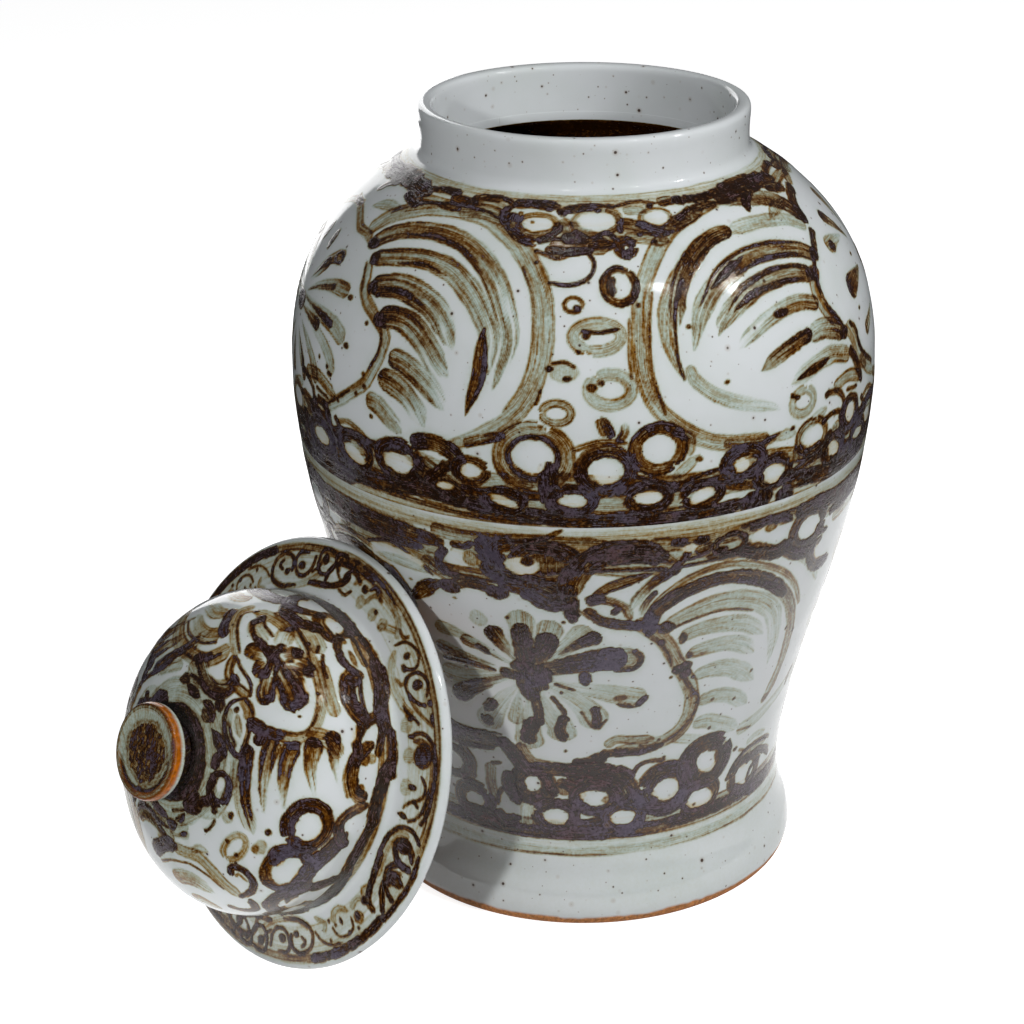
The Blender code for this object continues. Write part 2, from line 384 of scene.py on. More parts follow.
def swell(kind, t, start):
    """How wide a stroke is along its way: a comb starts blunt and ends in a point."""
    start = np.clip(start, 0, 1)
    blunt = np.sqrt(start * (2 - start))
    if kind == "comb":
        return blunt * np.interp(t, [0, 0.35, 0.65, 0.82, 0.93, 1], [0.90, 1.08, 1.08, 0.98, 0.56, 0.08])
    if kind == "leaf":
        return np.clip(np.sin(math.pi * np.clip(t, 0, 1)) ** 0.75, 0.06, 1)
    if kind == "petal":
        return blunt * np.interp(t, [0, 0.2, 0.55, 1], [1, 1.04, 0.72, 0.16])
    return blunt * np.clip(0.6 + 0.4 * (1 - t) / 0.08, 0, 1)


def lay(wall, spot, cover, ink, rust, across, along):
    """Pigment over what is there already."""
    old = wall["ink"][spot]
    wall["ink"][spot] = np.minimum(old + cover * ink * (1 - 0.45 * np.minimum(old, 1)), most_load)
    wall["rust"][spot] += cover * (rust - wall["rust"][spot]) * np.clip(0.35 + ink, 0, 1)
    fresh = cover > 0.3
    wall["across"][spot] = np.where(fresh, across, wall["across"][spot])
    wall["along"][spot] = np.where(fresh, along, wall["along"][spot])


def brush(wall, kind, load, width, points):
    """One stroke of the brush through points (degrees round, mm up)."""
    wall["strokes"] += 1
    seed = wall["strokes"]
    points = np.array(points, float)
    if len(points) == 2:
        bow = 0.02 * (points[1] - points[0])[::-1] * (1, -1)
        points = np.vstack([points[0], points.mean(0) + bow, points[1]])
    per_degree = np.interp(points[:, 1].mean(), wall["up"], wall["radius"]) * math.pi / 180
    size = np.hypot(*(np.diff(points, axis=0) * (per_degree, 1)).T).sum()
    line = smooth_line(points * (per_degree, 1), count=int(np.clip(size / 2.0, 6, 34))) / (per_degree, 1)
    spot, middle, x, y = window(wall, line[:, 0], line[:, 1], width / 2 + margin)
    line_x = np.radians(line[:, 0] - middle) * np.interp(line[:, 1], wall["up"], wall["radius"])
    line = np.stack([line_x, line[:, 1]], 1)
    pieces = np.diff(line, axis=0)
    lengths = np.maximum(np.hypot(*pieces.T), 1e-6)
    starts = np.concatenate([[0], np.cumsum(lengths)])
    nearest = np.full(x.shape, np.inf)
    across, along = np.zeros(x.shape), np.zeros(x.shape)
    for (ax, ay), (dx, dy), length, start in zip(line, pieces, lengths, starts):
        ux, uy = dx / length, dy / length
        px, py = x - ax, y - ay
        t = np.clip(px * ux + py * uy, 0, length)
        gap = np.hypot(px - t * ux, py - t * uy)
        closer = gap < nearest
        nearest = np.where(closer, gap, nearest)
        across = np.where(closer, py * ux - px * uy, across)
        along = np.where(closer, t + start, along)
    whole = starts[-1]
    t = along / whole
    half = width / 2 * swell(kind, t, along / (0.45 * width)) * (1 + 0.07 * grain(along / 7, 0, seed))
    rough = np.interp(load, [0.4, 0.7, 1.0], [0.12, 0.22, 0.42]) * min(1, width / 5)
    half = half + rough * grain(along / 2.2, np.sign(across) * 3 + across * 0.05, seed)
    inside = half - nearest
    cover = np.clip(inside / soft_edge + 0.5, 0, 1)
    # the bristles leave streaks, and where the brush runs dry there is bare clay between them
    streak = grain(across / 1.2, along / 30, seed) * 0.65 + grain(across / 0.55, along / 16, seed + 5) * 0.35
    streak = np.clip(streak * 1.6, -1, 1)
    if kind in strokes_dry and load > 0.3:
        dry = np.clip((t - 0.55) / 0.45, 0, 1) * 0.7
        cover = cover * (1 - dry * np.clip(0.2 - streak, 0, 1))
    # pigment gathers just inside the edge; all of this shows less on a thin stroke
    pool = np.exp(-((inside - 0.7) / 0.55) ** 2)
    fat = min(1.0, width / 5)
    # a comb stroke starts fat with pigment and runs out pale; other strokes thin and thicken on the way
    if kind in strokes_dry:
        run = np.interp(t, [0, 0.10, 0.30, 0.55, 0.80, 1.0], [1.38, 1.18, 0.94, 0.74, 0.52, 0.40])
        run = run + 0.16 * grain(along / 6 + across / 9, across / 5, seed + 3)
        green = 0.15 + 0.7 * np.clip((t - 0.35) / 0.5, 0, 1)
    else:
        green = 0.0
        run = 1 + 0.26 * grain(along / 9, across / 10, seed + 3) * min(1.0, whole / 20)
    # one side holds more than the other, and a pale wash has single dark hairs in it
    side = np.clip(across / np.maximum(half, 0.5) * (1 if seed % 2 else -1), -1, 1)
    gain = np.interp(load, [0.1, 0.3, 0.55, 0.8, 1.2], [0.04, 0.09, 0.28, 0.26, 0.10]) * fat
    edge = np.interp(load, [0.15, 0.3, 0.6, 0.9, 1.2], [0.06, 0.12, 0.32, 0.10, -0.16]) * fat
    rare = np.clip(grain(across / 0.7, along / 40, seed + 9) - 0.50, 0, 1)
    rare = rare * np.interp(load, [0.1, 0.3, 0.6], [0.2, 0.7, 0])
    ink = load * run + gain * (streak + 0.5 * side) + edge * (1 - green) * pool + rare * fat
    ink = np.clip(ink, least_ink, most_load)
    rust = np.interp(ink, [0.10, 0.28, 0.50, 0.85, 1.15], [0.05, 0.18, 0.62, 0.85, 0.30])
    rust = rust * (1 - 0.6 * green) + (0.30 * pool + 0.25 * streak) * (1 - green) + rare
    rust = np.clip(rust + wall["brown"], 0, 1)
    lay(wall, spot, cover, ink, rust, across + seed * bristle_apart, along)


def dab(wall, load, wide, tall, at, tilt=0.0, bare=False):
    """A blob of pigment, or a spot wiped bare: half widths in degrees and mm."""
    wall["strokes"] += 1
    seed = wall["strokes"]
    turn, up = np.array([at[0]]), np.array([at[1]])
    r = float(np.interp(at[1], wall["up"], wall["radius"]))
    wide = math.radians(wide) * r
    spot, middle, x, y = window(wall, turn, up, max(wide, tall) + margin)
    y = y - at[1]
    c, s = slant(tilt)
    u, v = (x * c + y * s) / wide, (y * c - x * s) / tall
    reach = np.hypot(u, v)
    angle = np.arctan2(v, u)
    ragged = 1 + 0.10 * grain(angle * 1.6 + 9, 0, seed) + 0.05 * grain(angle * 5 + 30, 0, seed)
    inside = (ragged - reach) * min(wide, tall)
    if bare:
        cover = np.clip(inside / 0.9 + 0.5, 0, 1) * 0.97
        wall["ink"][spot] *= 1 - cover
        return
    cover = np.clip(inside / soft_edge + 0.5, 0, 1)
    mottle = grain(x / 1.3, y / 1.3, seed)
    pool = np.exp(-((inside - 0.6) / 0.6) ** 2)
    edge = np.interp(load, [0.15, 0.3, 0.6, 0.9, 1.2], [0.04, 0.06, 0.15, 0.05, -0.10])
    ink = np.clip(load * (1 + 0.18 * mottle) + edge * pool, least_ink, most_load)
    rust = np.interp(ink, [0.10, 0.28, 0.50, 0.85, 1.15], [0.05, 0.20, 0.70, 0.80, 0.20])
    rust = np.clip(rust + 0.3 * pool + wall["brown"], 0, 1)
    lay(wall, spot, cover, ink, rust, x + seed * bristle_apart, y)


def ring(wall, load, width, wide, tall, at, tilt=0.0):
    """A round stroke that closes on itself."""
    start = wall["strokes"] * 2.4
    turns = start + np.linspace(0, math.tau * 1.04, 15)
    r = float(np.interp(at[1], wall["up"], wall["radius"])) * math.pi / 180
    c, s = slant(tilt)
    u, v = np.cos(turns) * wide * r, np.sin(turns) * tall
    points = np.stack([at[0] + (u * c - v * s) / r, at[1] + u * s + v * c], 1)
    brush(wall, "arc", load, width, points)


def as_drawn(turn, up):
    """Place for a pattern where it was drawn."""
    return turn, up


def paint(wall, pattern, place=as_drawn):
    """Strokes from their list, one on a line: what, load, width (or half widths), then points.

    A point is degrees round, mm up. A dab or a bare spot has half widths (degrees, mm), a ring also
    its stroke's width before them, and either may end with a tilt in degrees."""
    for entry in pattern.strip().splitlines():
        kind, *words = entry.split()
        values = [float(word) for word in words if "," not in word]
        points = [place(*(float(part) for part in word.split(","))) for word in words if "," in word]
        if kind in strokes_along:
            brush(wall, kind, *values, points)
            continue
        for point in points:
            if kind == "bare":
                dab(wall, 0, *values[:2], point, *values[2:], bare=True)
            elif kind == "dab":
                dab(wall, *values[:3], point, *values[3:])
            else:
                ring(wall, *values[:4], point, *values[4:])


def melt(wall, spread=2.4, share=0.17):
    """The glaze round the pigment turns green where a little of it has run."""
    steps = spread / cell
    reach = np.arange(-int(3 * steps), int(3 * steps) + 1)
    weight = np.exp(-(reach / steps) ** 2 / 2)
    weight /= weight.sum()
    soft = np.minimum(wall["ink"], 1.0)
    soft = sum(w * np.roll(soft, k, 1) for w, k in zip(weight, reach))
    padded = np.pad(soft, ((len(reach) // 2,) * 2, (0, 0)), mode="edge")
    soft = sum(w * padded[k:k + len(soft)] for k, w in enumerate(weight))
    turn, up = np.radians(wall["turn"])[None, :], wall["up"][:, None]
    uneven = 1 + 0.6 * grain(turn * 12, up / 11, 31)
    wall["ink"] = wall["ink"] + share * soft * uneven * np.clip(1 - wall["ink"] / 0.5, 0, 1)


# the glaze: a pale grey-green celadon over the painted clay. Thin pigment melts into it amber and olive,
# thick pigment stays dark brown, and the thickest comes through as a dull purple-grey skin
def tone(r, g, b):
    """A colour given from 0 to 255 as it shows on a screen."""
    flat = [c / 12.92 if c <= 0.04045 else ((c + 0.055) / 1.055) ** 2.4 for c in (r / 255, g / 255, b / 255)]
    return (*flat, 1.0)


def ramp(tree, value, stops):
    """A colour by value, from stops of place and screen colour."""
    made = put(tree, "ShaderNodeValToRGB", {0: value})
    band = made.color_ramp
    while len(band.elements) < len(stops):
        band.elements.new(0.5)
    for element, (at, colour) in zip(band.elements, stops):
        element.position, element.color = at, tone(*colour)
    return made.outputs[0]


def blend(tree, share, under, over):
    """One colour over another by a share."""
    return put(tree, "ShaderNodeMix", {0: share, 6: under, 7: over}, data_type="RGBA").outputs[2]


def stretch(tree, value, low, high, to_low=0.0, to_high=1.0):
    """A value drawn out from one range to another, and held at its ends."""
    return put(tree, "ShaderNodeMapRange", {"Value": value, "From Min": low, "From Max": high,
                                            "To Min": to_low, "To Max": to_high}).outputs[0]


def noise(tree, where, scale, detail=3.0, roughness=0.5, distortion=0.0):
    """Soft cloudy noise round 0.5."""
    return put(tree, "ShaderNodeTexNoise", {"Vector": where, "Scale": scale, "Detail": detail,
                                            "Roughness": roughness, "Distortion": distortion}).outputs[0]


def swing(tree, value, width):
    """Noise round 0.5 turned into a swing of that width round nought."""
    return reckon(tree, "MULTIPLY_ADD", value, width, -width / 2)


def group(name, inputs, outputs):
    """A shader group with named sockets; returns it with its given and wanted nodes."""
    made = bpy.data.node_groups.new(name, "ShaderNodeTree")
    for label, kind, value in inputs:
        socket = made.interface.new_socket(label, in_out="INPUT", socket_type="NodeSocket" + kind)
        if value is not None:
            socket.default_value = value
    for label, kind in outputs:
        made.interface.new_socket(label, in_out="OUTPUT", socket_type="NodeSocket" + kind)
    return made, put(made, "NodeGroupInput").outputs, put(made, "NodeGroupOutput")


# pigment colours by how much lies there: grey-green where it is thin and cool, amber where it is brown
celadon = (205, 209, 211)
cool_stops = [(0.0, celadon), (0.10, (184, 194, 190)), (0.20, (159, 173, 164)), (0.32, (136, 146, 131)),
              (0.44, (112, 108, 84)), (0.56, (84, 66, 42)), (0.70, (56, 36, 21)), (0.86, (32, 18, 10)),
              (1.0, (26, 13, 7))]
warm_stops = [(0.0, celadon), (0.09, (190, 188, 170)), (0.18, (173, 160, 122)), (0.28, (153, 129, 76)),
              (0.38, (133, 98, 40)), (0.50, (104, 66, 14)), (0.62, (74, 39, 3)), (0.80, (40, 18, 2)),
              (1.0, (27, 11, 2))]
most_ink = 1.25
# how much dark brown pigment the jar's inside gets, a wash that is also painted shade in the hollow
inner_wash_and_shade = 0.85
# how much of the unrolled map's height the skin takes, and the strip that the clay behind it takes
skin_share = 0.93
clay_strip = (0.94, 0.99)
# how fine each noise of the glaze is, in turns to the metre, but the bristles' in turns to the millimetre
hair_scale = (1.9, 0.07, 1.0)
grit_scale = 560.0
patch_scale = 150.0
cloud_scale = 26.0
wave_scale = 42.0
# how far each stands up, in metres
wave_height = 0.00022
pigment_height = 0.00007
grit_height = 0.00008
unevenness = 0.00010

pigment, given, wanted = group("iron pigment", [("Ink", "Float", 0.0), ("Rust", "Float", 0.0)],
                               [("Colour", "Color")])
share = reckon(pigment, "DIVIDE", given["Ink"], most_ink, clamp=True)
mixed = blend(pigment, given["Rust"], ramp(pigment, share, cool_stops), ramp(pigment, share, warm_stops))
pigment.links.new(mixed, wanted.inputs[0])

specks, given, wanted = group("iron specks",
                              [("Vector", "Vector", None), ("Scale", "Float", 110.0), ("Size", "Float", 0.08),
                               ("Share", "Float", 0.6)], [("Mask", "Float"), ("Halo", "Float")])
spots = put(specks, "ShaderNodeTexVoronoi", {"Vector": given["Vector"], "Scale": given["Scale"]}).outputs
dice = put(specks, "ShaderNodeSeparateColor", {0: spots["Color"]}).outputs
kept = reckon(specks, "LESS_THAN", dice[0], given["Share"])
reach = reckon(specks, "ADD", reckon(specks, "POWER", dice[1], 3.0), 0.35)
reach = reckon(specks, "MULTIPLY", given["Size"], reach)
near = reckon(specks, "DIVIDE", spots["Distance"], reach)
# the mask is the speck itself, the halo the brown that has run out of it
for socket, (low, high) in enumerate([(0.75, 1.1), (0.9, 2.2)]):
    fade = reckon(specks, "MULTIPLY", stretch(specks, near, low, high, 1.0, 0.0), kept)
    specks.links.new(fade, wanted.inputs[socket])


def glazed(name, speckle=1.0, roughness=0.08, clay=(150, 104, 66), dry=0.75, skins_from=1.18,
           dull=(80, 63, 72), gloss=1.5):
    """Celadon glaze over whatever pigment and bare clay a piece carries; it skins over where ink is thick."""
    material, tree = new_material(name)
    here = put(tree, "ShaderNodeTexCoord").outputs["Object"]
    ink, rust, bare = (put(tree, "ShaderNodeAttribute", attribute_name=label).outputs["Fac"]
                       for label in ("ink", "rust", "bare"))
    bristle = put(tree, "ShaderNodeAttribute", attribute_name="bristle").outputs["Vector"]
    hairs = put(tree, "ShaderNodeMapping", {"Vector": bristle, "Scale": hair_scale}).outputs[0]
    hairs = noise(tree, hairs, 1.0)
    grit = noise(tree, here, grit_scale, roughness=0.65)
    patchy = noise(tree, here, patch_scale, distortion=0.6)
    cloud = noise(tree, here, cloud_scale)
    # streaks of the bristles and the grain of the pigment
    lift = reckon(tree, "ADD", swing(tree, hairs, 1.5), swing(tree, grit, 1.5))
    lift = reckon(tree, "ADD", lift, swing(tree, patchy, 0.8))
    streaked = reckon(tree, "MAXIMUM", reckon(tree, "MULTIPLY", ink, reckon(tree, "ADD", lift, 1.0)), 0.0)
    # the melt creeps a little greener and browner from place to place
    pooled = stretch(tree, cloud, 0.45, 0.80, to_high=0.05)
    browner = reckon(tree, "ADD", rust, swing(tree, grit, 0.9))
    browner = reckon(tree, "ADD", browner, reckon(tree, "MULTIPLY_ADD", hairs, 1.8, -0.80), clamp=True)
    cooked = put(tree, "ShaderNodeGroup", node_tree=pigment)
    tree.links.new(reckon(tree, "ADD", streaked, pooled), cooked.inputs["Ink"])
    tree.links.new(browner, cooked.inputs["Rust"])
    colour = cooked.outputs[0]
    # thick pigment skins over in ragged patches of dull purple-grey crystals; their bluest tones are partly a
    # painted bluish reflection
    crust = swing(tree, patchy, 1.8)
    for part in (swing(tree, hairs, 2.2), swing(tree, grit, 1.6), swing(tree, cloud, 1.4), ink):
        crust = reckon(tree, "ADD", crust, part)
    crust = stretch(tree, crust, skins_from, skins_from + 0.16)
    skinned = ramp(tree, grit, [(0.32, (46, 30, 29)), (0.50, (76, 61, 70)), (0.68, (102, 91, 104))])
    hue_and_blue_sheen = ramp(tree, cloud, [(0.36, (96, 56, 38)), (0.50, dull), (0.64, (80, 76, 94))])
    colour = blend(tree, crust, colour, blend(tree, 0.5, skinned, hue_and_blue_sheen))
    # iron specks in the clay
    for scale, size, share in ((130.0, 0.10, 0.85), (300.0, 0.12, 0.40)):
        spotted = put(tree, "ShaderNodeGroup", node_tree=specks)
        tree.links.new(here, spotted.inputs["Vector"])
        for label, value in (("Scale", scale), ("Size", size), ("Share", share * speckle)):
            spotted.inputs[label].default_value = value
        for mask, strength, brown in (("Halo", 0.28, (134, 104, 62)), ("Mask", 0.92, (52, 28, 12))):
            mask = reckon(tree, "MULTIPLY", spotted.outputs[mask], strength)
            colour = blend(tree, mask, colour, tone(*brown))
    toasted = ramp(tree, grit, [(0.30, [c * 0.72 for c in clay]), (0.52, clay),
                                (0.75, [min(c * 1.25, 255) for c in clay])])
    colour = blend(tree, bare, colour, toasted)
    matt = reckon(tree, "MULTIPLY_ADD", crust, 0.18, roughness)
    matt = reckon(tree, "MULTIPLY_ADD", cloud, 0.04, matt)
    matt = reckon(tree, "MAXIMUM", matt, reckon(tree, "MULTIPLY", bare, dry))
    # the skin: slow waves from the throwing, fine orange peel, pigment that stands up
    waves = noise(tree, here, wave_scale, detail=2.0)
    level = reckon(tree, "MULTIPLY", waves, wave_height)
    level = reckon(tree, "MULTIPLY_ADD", streaked, pigment_height, level)
    gritty = reckon(tree, "MULTIPLY", grit, reckon(tree, "ADD", crust, 0.25))
    level = reckon(tree, "MULTIPLY_ADD", gritty, grit_height, level)
    bump = put(tree, "ShaderNodeBump", {"Strength": 1.0, "Distance": 1.0, "Height": level}).outputs[0]
    sheen = reckon(tree, "MULTIPLY", crust, 0.25)
    shader = put(tree, "ShaderNodeBsdfPrincipled", {"Base Color": colour, "Roughness": matt, "Normal": bump,
                                                    "IOR": gloss, "Metallic": sheen})
    put(tree, "ShaderNodeOutputMaterial", {"Surface": shader.outputs[0]})
    return material


def skin(wall, line, relief=0.00012, taper=4):
    """Where the glazed surface of a painted wall lies and which way it faces, all the way round."""
    along = np.gradient(line, axis=0)
    along /= np.linalg.norm(along, axis=1)[:, None]
    out = np.stack([along[:, 1], -along[:, 0]], 1)
    turn = np.radians(wall["turn"])[None, :]
    thick = relief * np.clip((wall["ink"] - 0.5) / 0.6, 0, 1)
    up = wall["up"][:, None]
    thick = thick + unevenness * grain(up / 9.0, wall["turn"][None, :] / 60, 3)
    ends = np.clip(np.minimum(np.arange(len(line)), np.arange(len(line))[::-1]) / taper, 0, 1)[:, None]
    thick = (thick - glaze_skin) * ends - glaze_skin * (1 - ends)
    r = line[:, :1] + out[:, :1] * thick
    z = line[:, 1:] + out[:, 1:] * thick
    spots = np.stack([r * np.cos(turn), r * np.sin(turn), z], 2)
    over = np.gradient(spots, axis=0)
    round_ = np.roll(spots, -1, 1) - np.roll(spots, 1, 1)
    faces = np.cross(round_, over)
    faces /= np.maximum(np.linalg.norm(faces, axis=2), 1e-12)[..., None]
    return spots, faces


def sectors(columns, count, shift):
    """The sectors of a wall: each one's number, first column and last column."""
    cuts = [round(columns * (n + shift) / count) for n in range(count + 1)]
    return zip(range(1, count + 1), cuts, cuts[1:])


def mark(mesh, label, value):
    """A number at every corner of the mesh, for its glaze to read."""
    held = mesh.attributes.new(label, "FLOAT", "POINT")
    held.data.foreach_set("value", value.astype(np.float32))


def painted_piece(name, wall, line, back, clay, first, last, place, surface, bare_below=-1.0,
                  wash_and_shade_below=-1.0):
    """A closed piece of a painted wall between two columns: its skin, and the clay behind it."""
    spots, faces = surface
    columns = len(wall["turn"])
    start = -180 + first * 360 / columns
    outline = np.vstack([line, back])
    mesh = turned(name, outline, last - first, clay, start, start + (last - first) * 360 / columns)
    marks = {}
    for label in ("row", "column"):
        marks[label] = np.empty(len(mesh.vertices), np.int32)
        mesh.attributes[label].data.foreach_get("value", marks[label])
        mesh.attributes.remove(mesh.attributes[label])
    co = np.empty((len(marks["row"]), 3))
    mesh.vertices.foreach_get("co", co.ravel())
    if last - first == columns:
        marks["column"] = np.round((np.arctan2(co[:, 1], co[:, 0]) / math.tau + 0.5) * columns).astype(int)
    row, column = marks["row"], (marks["column"] + first) % columns
    shown = row < len(line)
    at = (np.minimum(row, len(line) - 1), column)
    co[shown] = spots[at][shown]
    co = co @ np.array(place.to_3x3()).T + np.array(place.translation)
    mesh.vertices.foreach_set("co", co.ravel())
    # clay behind the skin below that height gets the jar's dark inside wash, which is also painted shade
    in_wash_and_shade = (outline[:, 1] < wash_and_shade_below)[row]
    behind = {"ink": inner_wash_and_shade * in_wash_and_shade, "rust": in_wash_and_shade, "bare": (outline[:, 1] < bare_below)[row]}
    for label, value in behind.items():
        mark(mesh, label, np.where(shown, wall[label][at], value))
    held = mesh.attributes.new("bristle", "FLOAT_VECTOR", "POINT")
    flow = np.stack([wall["across"][at], wall["along"][at], np.zeros(len(row))], 1)
    held.data.foreach_set("vector", np.where(shown[:, None], flow, 0).astype(np.float32).ravel())
    # the map that the piece is unrolled on: the skin first, the clay behind it in a strip above
    if last - first < columns:
        length = length_along(line)
        high = np.concatenate([length / length[-1] * skin_share, np.linspace(*clay_strip, len(back))])
        map_ = mesh.uv_layers.new(name="OFBake")
        corner = np.empty(len(mesh.loops), np.int32)
        mesh.loops.foreach_get("vertex_index", corner)
        u = 0.01 + 0.98 * marks["column"][corner] / (last - first)
        unrolled = np.stack([u, 0.005 + 0.99 * high[row[corner]]], 1)
        map_.data.foreach_set("uv", unrolled.astype(np.float32).ravel())
    mesh.shade_smooth()
    mesh.update()
    normals = np.where(shown[:, None], faces[at] @ np.array(place.to_3x3()).T, 0)
    mesh.normals_split_custom_set_from_vertices(normals.tolist())
    return place_in_scene(name, mesh)


# the lower wall and its pattern
lower_line, lower_up = between(0.0, seam_height, cell / 1000)
jar_columns = 1170
corner_hold = 0.0004
lower = painted_wall(lower_up, lower_line[:, 0], jar_columns)
chain_under_seam = """
arc .30 13 -63,229 -46,229 -29,226
arc .34 12 -60,220 -46,222 -34,219 -26,213
arc .40 8 -30,236 -22,235 -10,236.5 4,235.5
arc .30 12 -26,226 -14,222 -2,226 10,222 22,226 36,222
arc .36 8 12,234 24,232 36,234 52,233 66,232
arc .55 2 -64,235.5 -50,236.5 -34,235
arc .85 8 -66,231 -50,231.5 -38,231 -28,229.5
arc .80 6 -62,223.5 -46,225 -33,224
arc .8 2 -48,216 -41,221.5 -36,217 -31,208.5
leaf .8 9 -29,206 -33,200 -38,189
arc .40 9 -33,218 -30,213 -27,210
arc .55 7 -29,214 -22,214.5 -14,213.5
arc .9 5 -27,227 -29,219 -28,212
arc 1.15 11 -20,236 -18,228 -18,219 -13,215
arc 1.1 13 -17,214 -9,210 -4.5,205
arc 1.15 9 -13,236 -17,231 -16,222
arc 1.05 6 -28.5,203 -24,208 -20,208 -16,204
dab 1.1 2.4 4 -17,205 -27.6,204
arc 1.1 7 -12,208 -8,201 -4.5,199
arc 1.2 8.5 -3,213 -2.6,202 -2,192
ring .8 7 6 9 -7,225
dab .45 4 6.5 -7,224
arc .9 5 -11,233 -6,232 -3,227
arc .95 13 -3,206 -2,216 1,226 6,231 13,231
arc .9 11 4,229 10,229.5 15,227
arc .5 2.5 5,224.5 11,226.5 17,223
arc .9 2.4 1,221 8,221 16,219.5
arc .9 2.6 -14,235 -8,238 -4,243.3
bare 3.6 5 -23.5,222.5
dab .4 1.7 4.5 -21.8,223
arc .95 3.5 -26,230 -23,229.3 -21.5,232
bare 3.4 5.2 -11.6,222.3
dab .95 1.3 2.6 -10.6,225.3
dab .4 1.4 3 -16.5,214
leaf .7 6.5 .5,202 5,211 13.5,218
dab 1.1 2 3 2.4,204
arc .45 5 .5,202 4,203.5 8,199 9.4,192
arc 1.1 6 0,198 4,190.5 9,187.5 12.5,187
arc 1.05 4 5.5,195 7,197.5
comb .85 5.5 19,219.5 14,213 11,205 9.3,196
comb .95 3.5 14.5,207 12.3,200 11.6,192.5
arc .9 4 16.5,234.5 20,230.5 19,223 17,219
bare 2.2 2.4 20.8,229.7
arc .5 2 12,229 16,227 18,223
arc .45 5 21.5,227.5 25,229
dab 1.1 1.6 2.6 22.6,233
dab .9 1.6 2 18.2,234
arc .8 1.8 20,223 24.5,225.5
arc .85 1.8 17,219.2 23,220 31,220.3 35,218
arc .35 4 24,223 30,222 36,221
ring .95 3.5 3.4 5.2 29,228
dab 1.1 1.5 2.6 27,225
arc .4 4 31,236 38,236.5 45,234
arc 1.05 5 33,234 37,233 41,234.5 44,231
bare 4 6 37.6,226.7
dab .45 1.6 2.6 38.5,231
arc 1.05 9.5 31.5,223 36,219 41,215 44.5,217
ring 1.05 8 5.2 10.5 50.5,221.5
arc 1.1 8 45,233.5 52,235 60,232 67,230
arc .95 6.5 43.5,214 48,207.5 53,205.5 56.5,209
arc .9 4 53,220 55,215 58.5,213
arc .3 8 56,225 60,224 66,221
bare 3.1 6.3 50.6,221
bare 2.2 2.6 60.8,219
arc 1.05 8 53,207 55,198 58.5,192 64,190
bare 1.3 6.5 40 56.9,201.5
arc .14 4 43.5,214 50,204 56,193 61,181
"""
lower_flower = """
bare 7.6 5.8 -40,212.7
leaf .18 6.5 -46,211 -39,211.5 -31,209.5
dab .5 .5 .8 -37,202 -26.7,197.5
petal .22 14 -12.8,196 -12.8,184 -12.6,165
arc 1.1 10 -13,188 -12.8,175 -12.4,158
petal .24 14 -6.3,191 -7.5,180 -10,163
petal 1.08 11 -6.9,183 -8,174 -10.4,160 -11.4,150
petal .24 13 1.6,186.5 -2.5,177 -7.5,165
petal 1.0 8 3.6,182 -.5,177 -5,170
petal .30 13 11.6,167 4,166 -3,161 -11,153
petal 1.1 15 9.4,166.2 4,166.2 -3,162.6 -10,158 -16,153
arc 1.05 3.4 10.6,171.6 12.4,166 11.2,159.6 7,158.6
arc 1.1 6 .5,158 .5,150.6
petal .18 13 14.5,137.5 8,142 0,147 -7,151
leaf .8 3 7.5,136 12.5,133
arc 1.1 3.6 12.3,133.6 14.5,139.4
arc .95 2 -6.5,150 -2,146
dab .5 1.6 2 8.5,140
petal .20 15 3.6,121 1.5,131 -2.5,140 -8,148
arc .95 5 2.4,135 3.2,128 3.2,122
arc .7 1.6 -.6,132 1.6,123 3.6,120 5.4,126
petal .22 15 -5,111.5 -5.5,121 -8,132 -10,143
arc 1.0 5.6 -4.4,129 -5.6,121 -5,113
arc .95 2.6 -7.4,141.5 -5.5,135 -4.2,130
petal .22 15 -13.4,105 -13.5,118 -12.6,130 -12,141
arc 1.08 8.4 -13.8,108 -13.5,115 -12.2,124
arc .95 4.8 -10.5,121 -10.6,131 -11.3,142
petal .24 9 -16.8,120.5 -15.8,131 -14.8,142
petal .20 14 -25,115 -22,126 -18.5,138 -15,147
arc 1.0 6.5 -21,134.5 -23.5,127.5
arc .95 8.5 -25.2,117.5 -23.6,121
petal .22 12 -34,148 -29,147 -22,150 -16,153
petal .95 11 -32,130 -28,138 -22.5,145.5 -16.5,152.5
arc .9 3.5 -33,156 -27,156.5 -20,155
petal .55 9 -34,164 -28,161.5 -20,158
petal .28 8 -33,177 -27,175 -21,168
petal .5 8 -27,173 -22,169 -16,161
arc .95 4.5 -23.5,170.5 -20.8,166
petal .95 10 -20,183.5 -17.5,174 -14.5,163
dab .16 2 5 -22,187.5
dab 1.15 2.7 12 -12.4,150
dab 1.12 3 6 25 -9.6,155
dab 1.08 2.4 3.6 -20 -16.4,154
dab 1.05 1.6 3 -9.4,147.6 -14.6,160
dab .85 .45 .9 -27,153.5 -32,143 -5,144 -15.6,190.5 -4,190 -4.5,105
arc .36 9 10.5,190 14.5,182 18,172 20,163 22.5,153 25,143 26.5,132 26.3,121 24.5,113 21,108 15,105.5 9,105.5
arc .5 2.6 13,181.5 16,175 18.6,166 19.6,158
arc .42 2.6 22,152 25.6,140 28,131 27,119 24,111 19,105.3
dab 1.05 1.6 3.2 23.2,156
dab 1.05 1.4 3 23.4,151 21.3,154.5
arc .38 6 5.5,107.5 8,112 12,111 17,110.3
arc 1.0 5.5 4,103 9,103.3 15,103.2 20,105.5
dab .9 .8 1.6 16.7,174.6
dab .85 .45 .9 20,150 19.1,109 14.3,106.8 27.6,129.5
arc 1.1 8 -3,96 2,98 5.3,102
arc .95 9 -14,92 -8,92.5 0,92.5 6,94
arc .5 6 -16.4,108 -14.6,100 -12,95.5 -5,94.5
arc 1.1 9 -22,109 -19,103 -17,96 -15,90
arc 1.0 13 -39,105 -30,104.5 -23,106.5
arc .8 2.5 -38,117 -34,112 -28,111 -21,111.5
"""
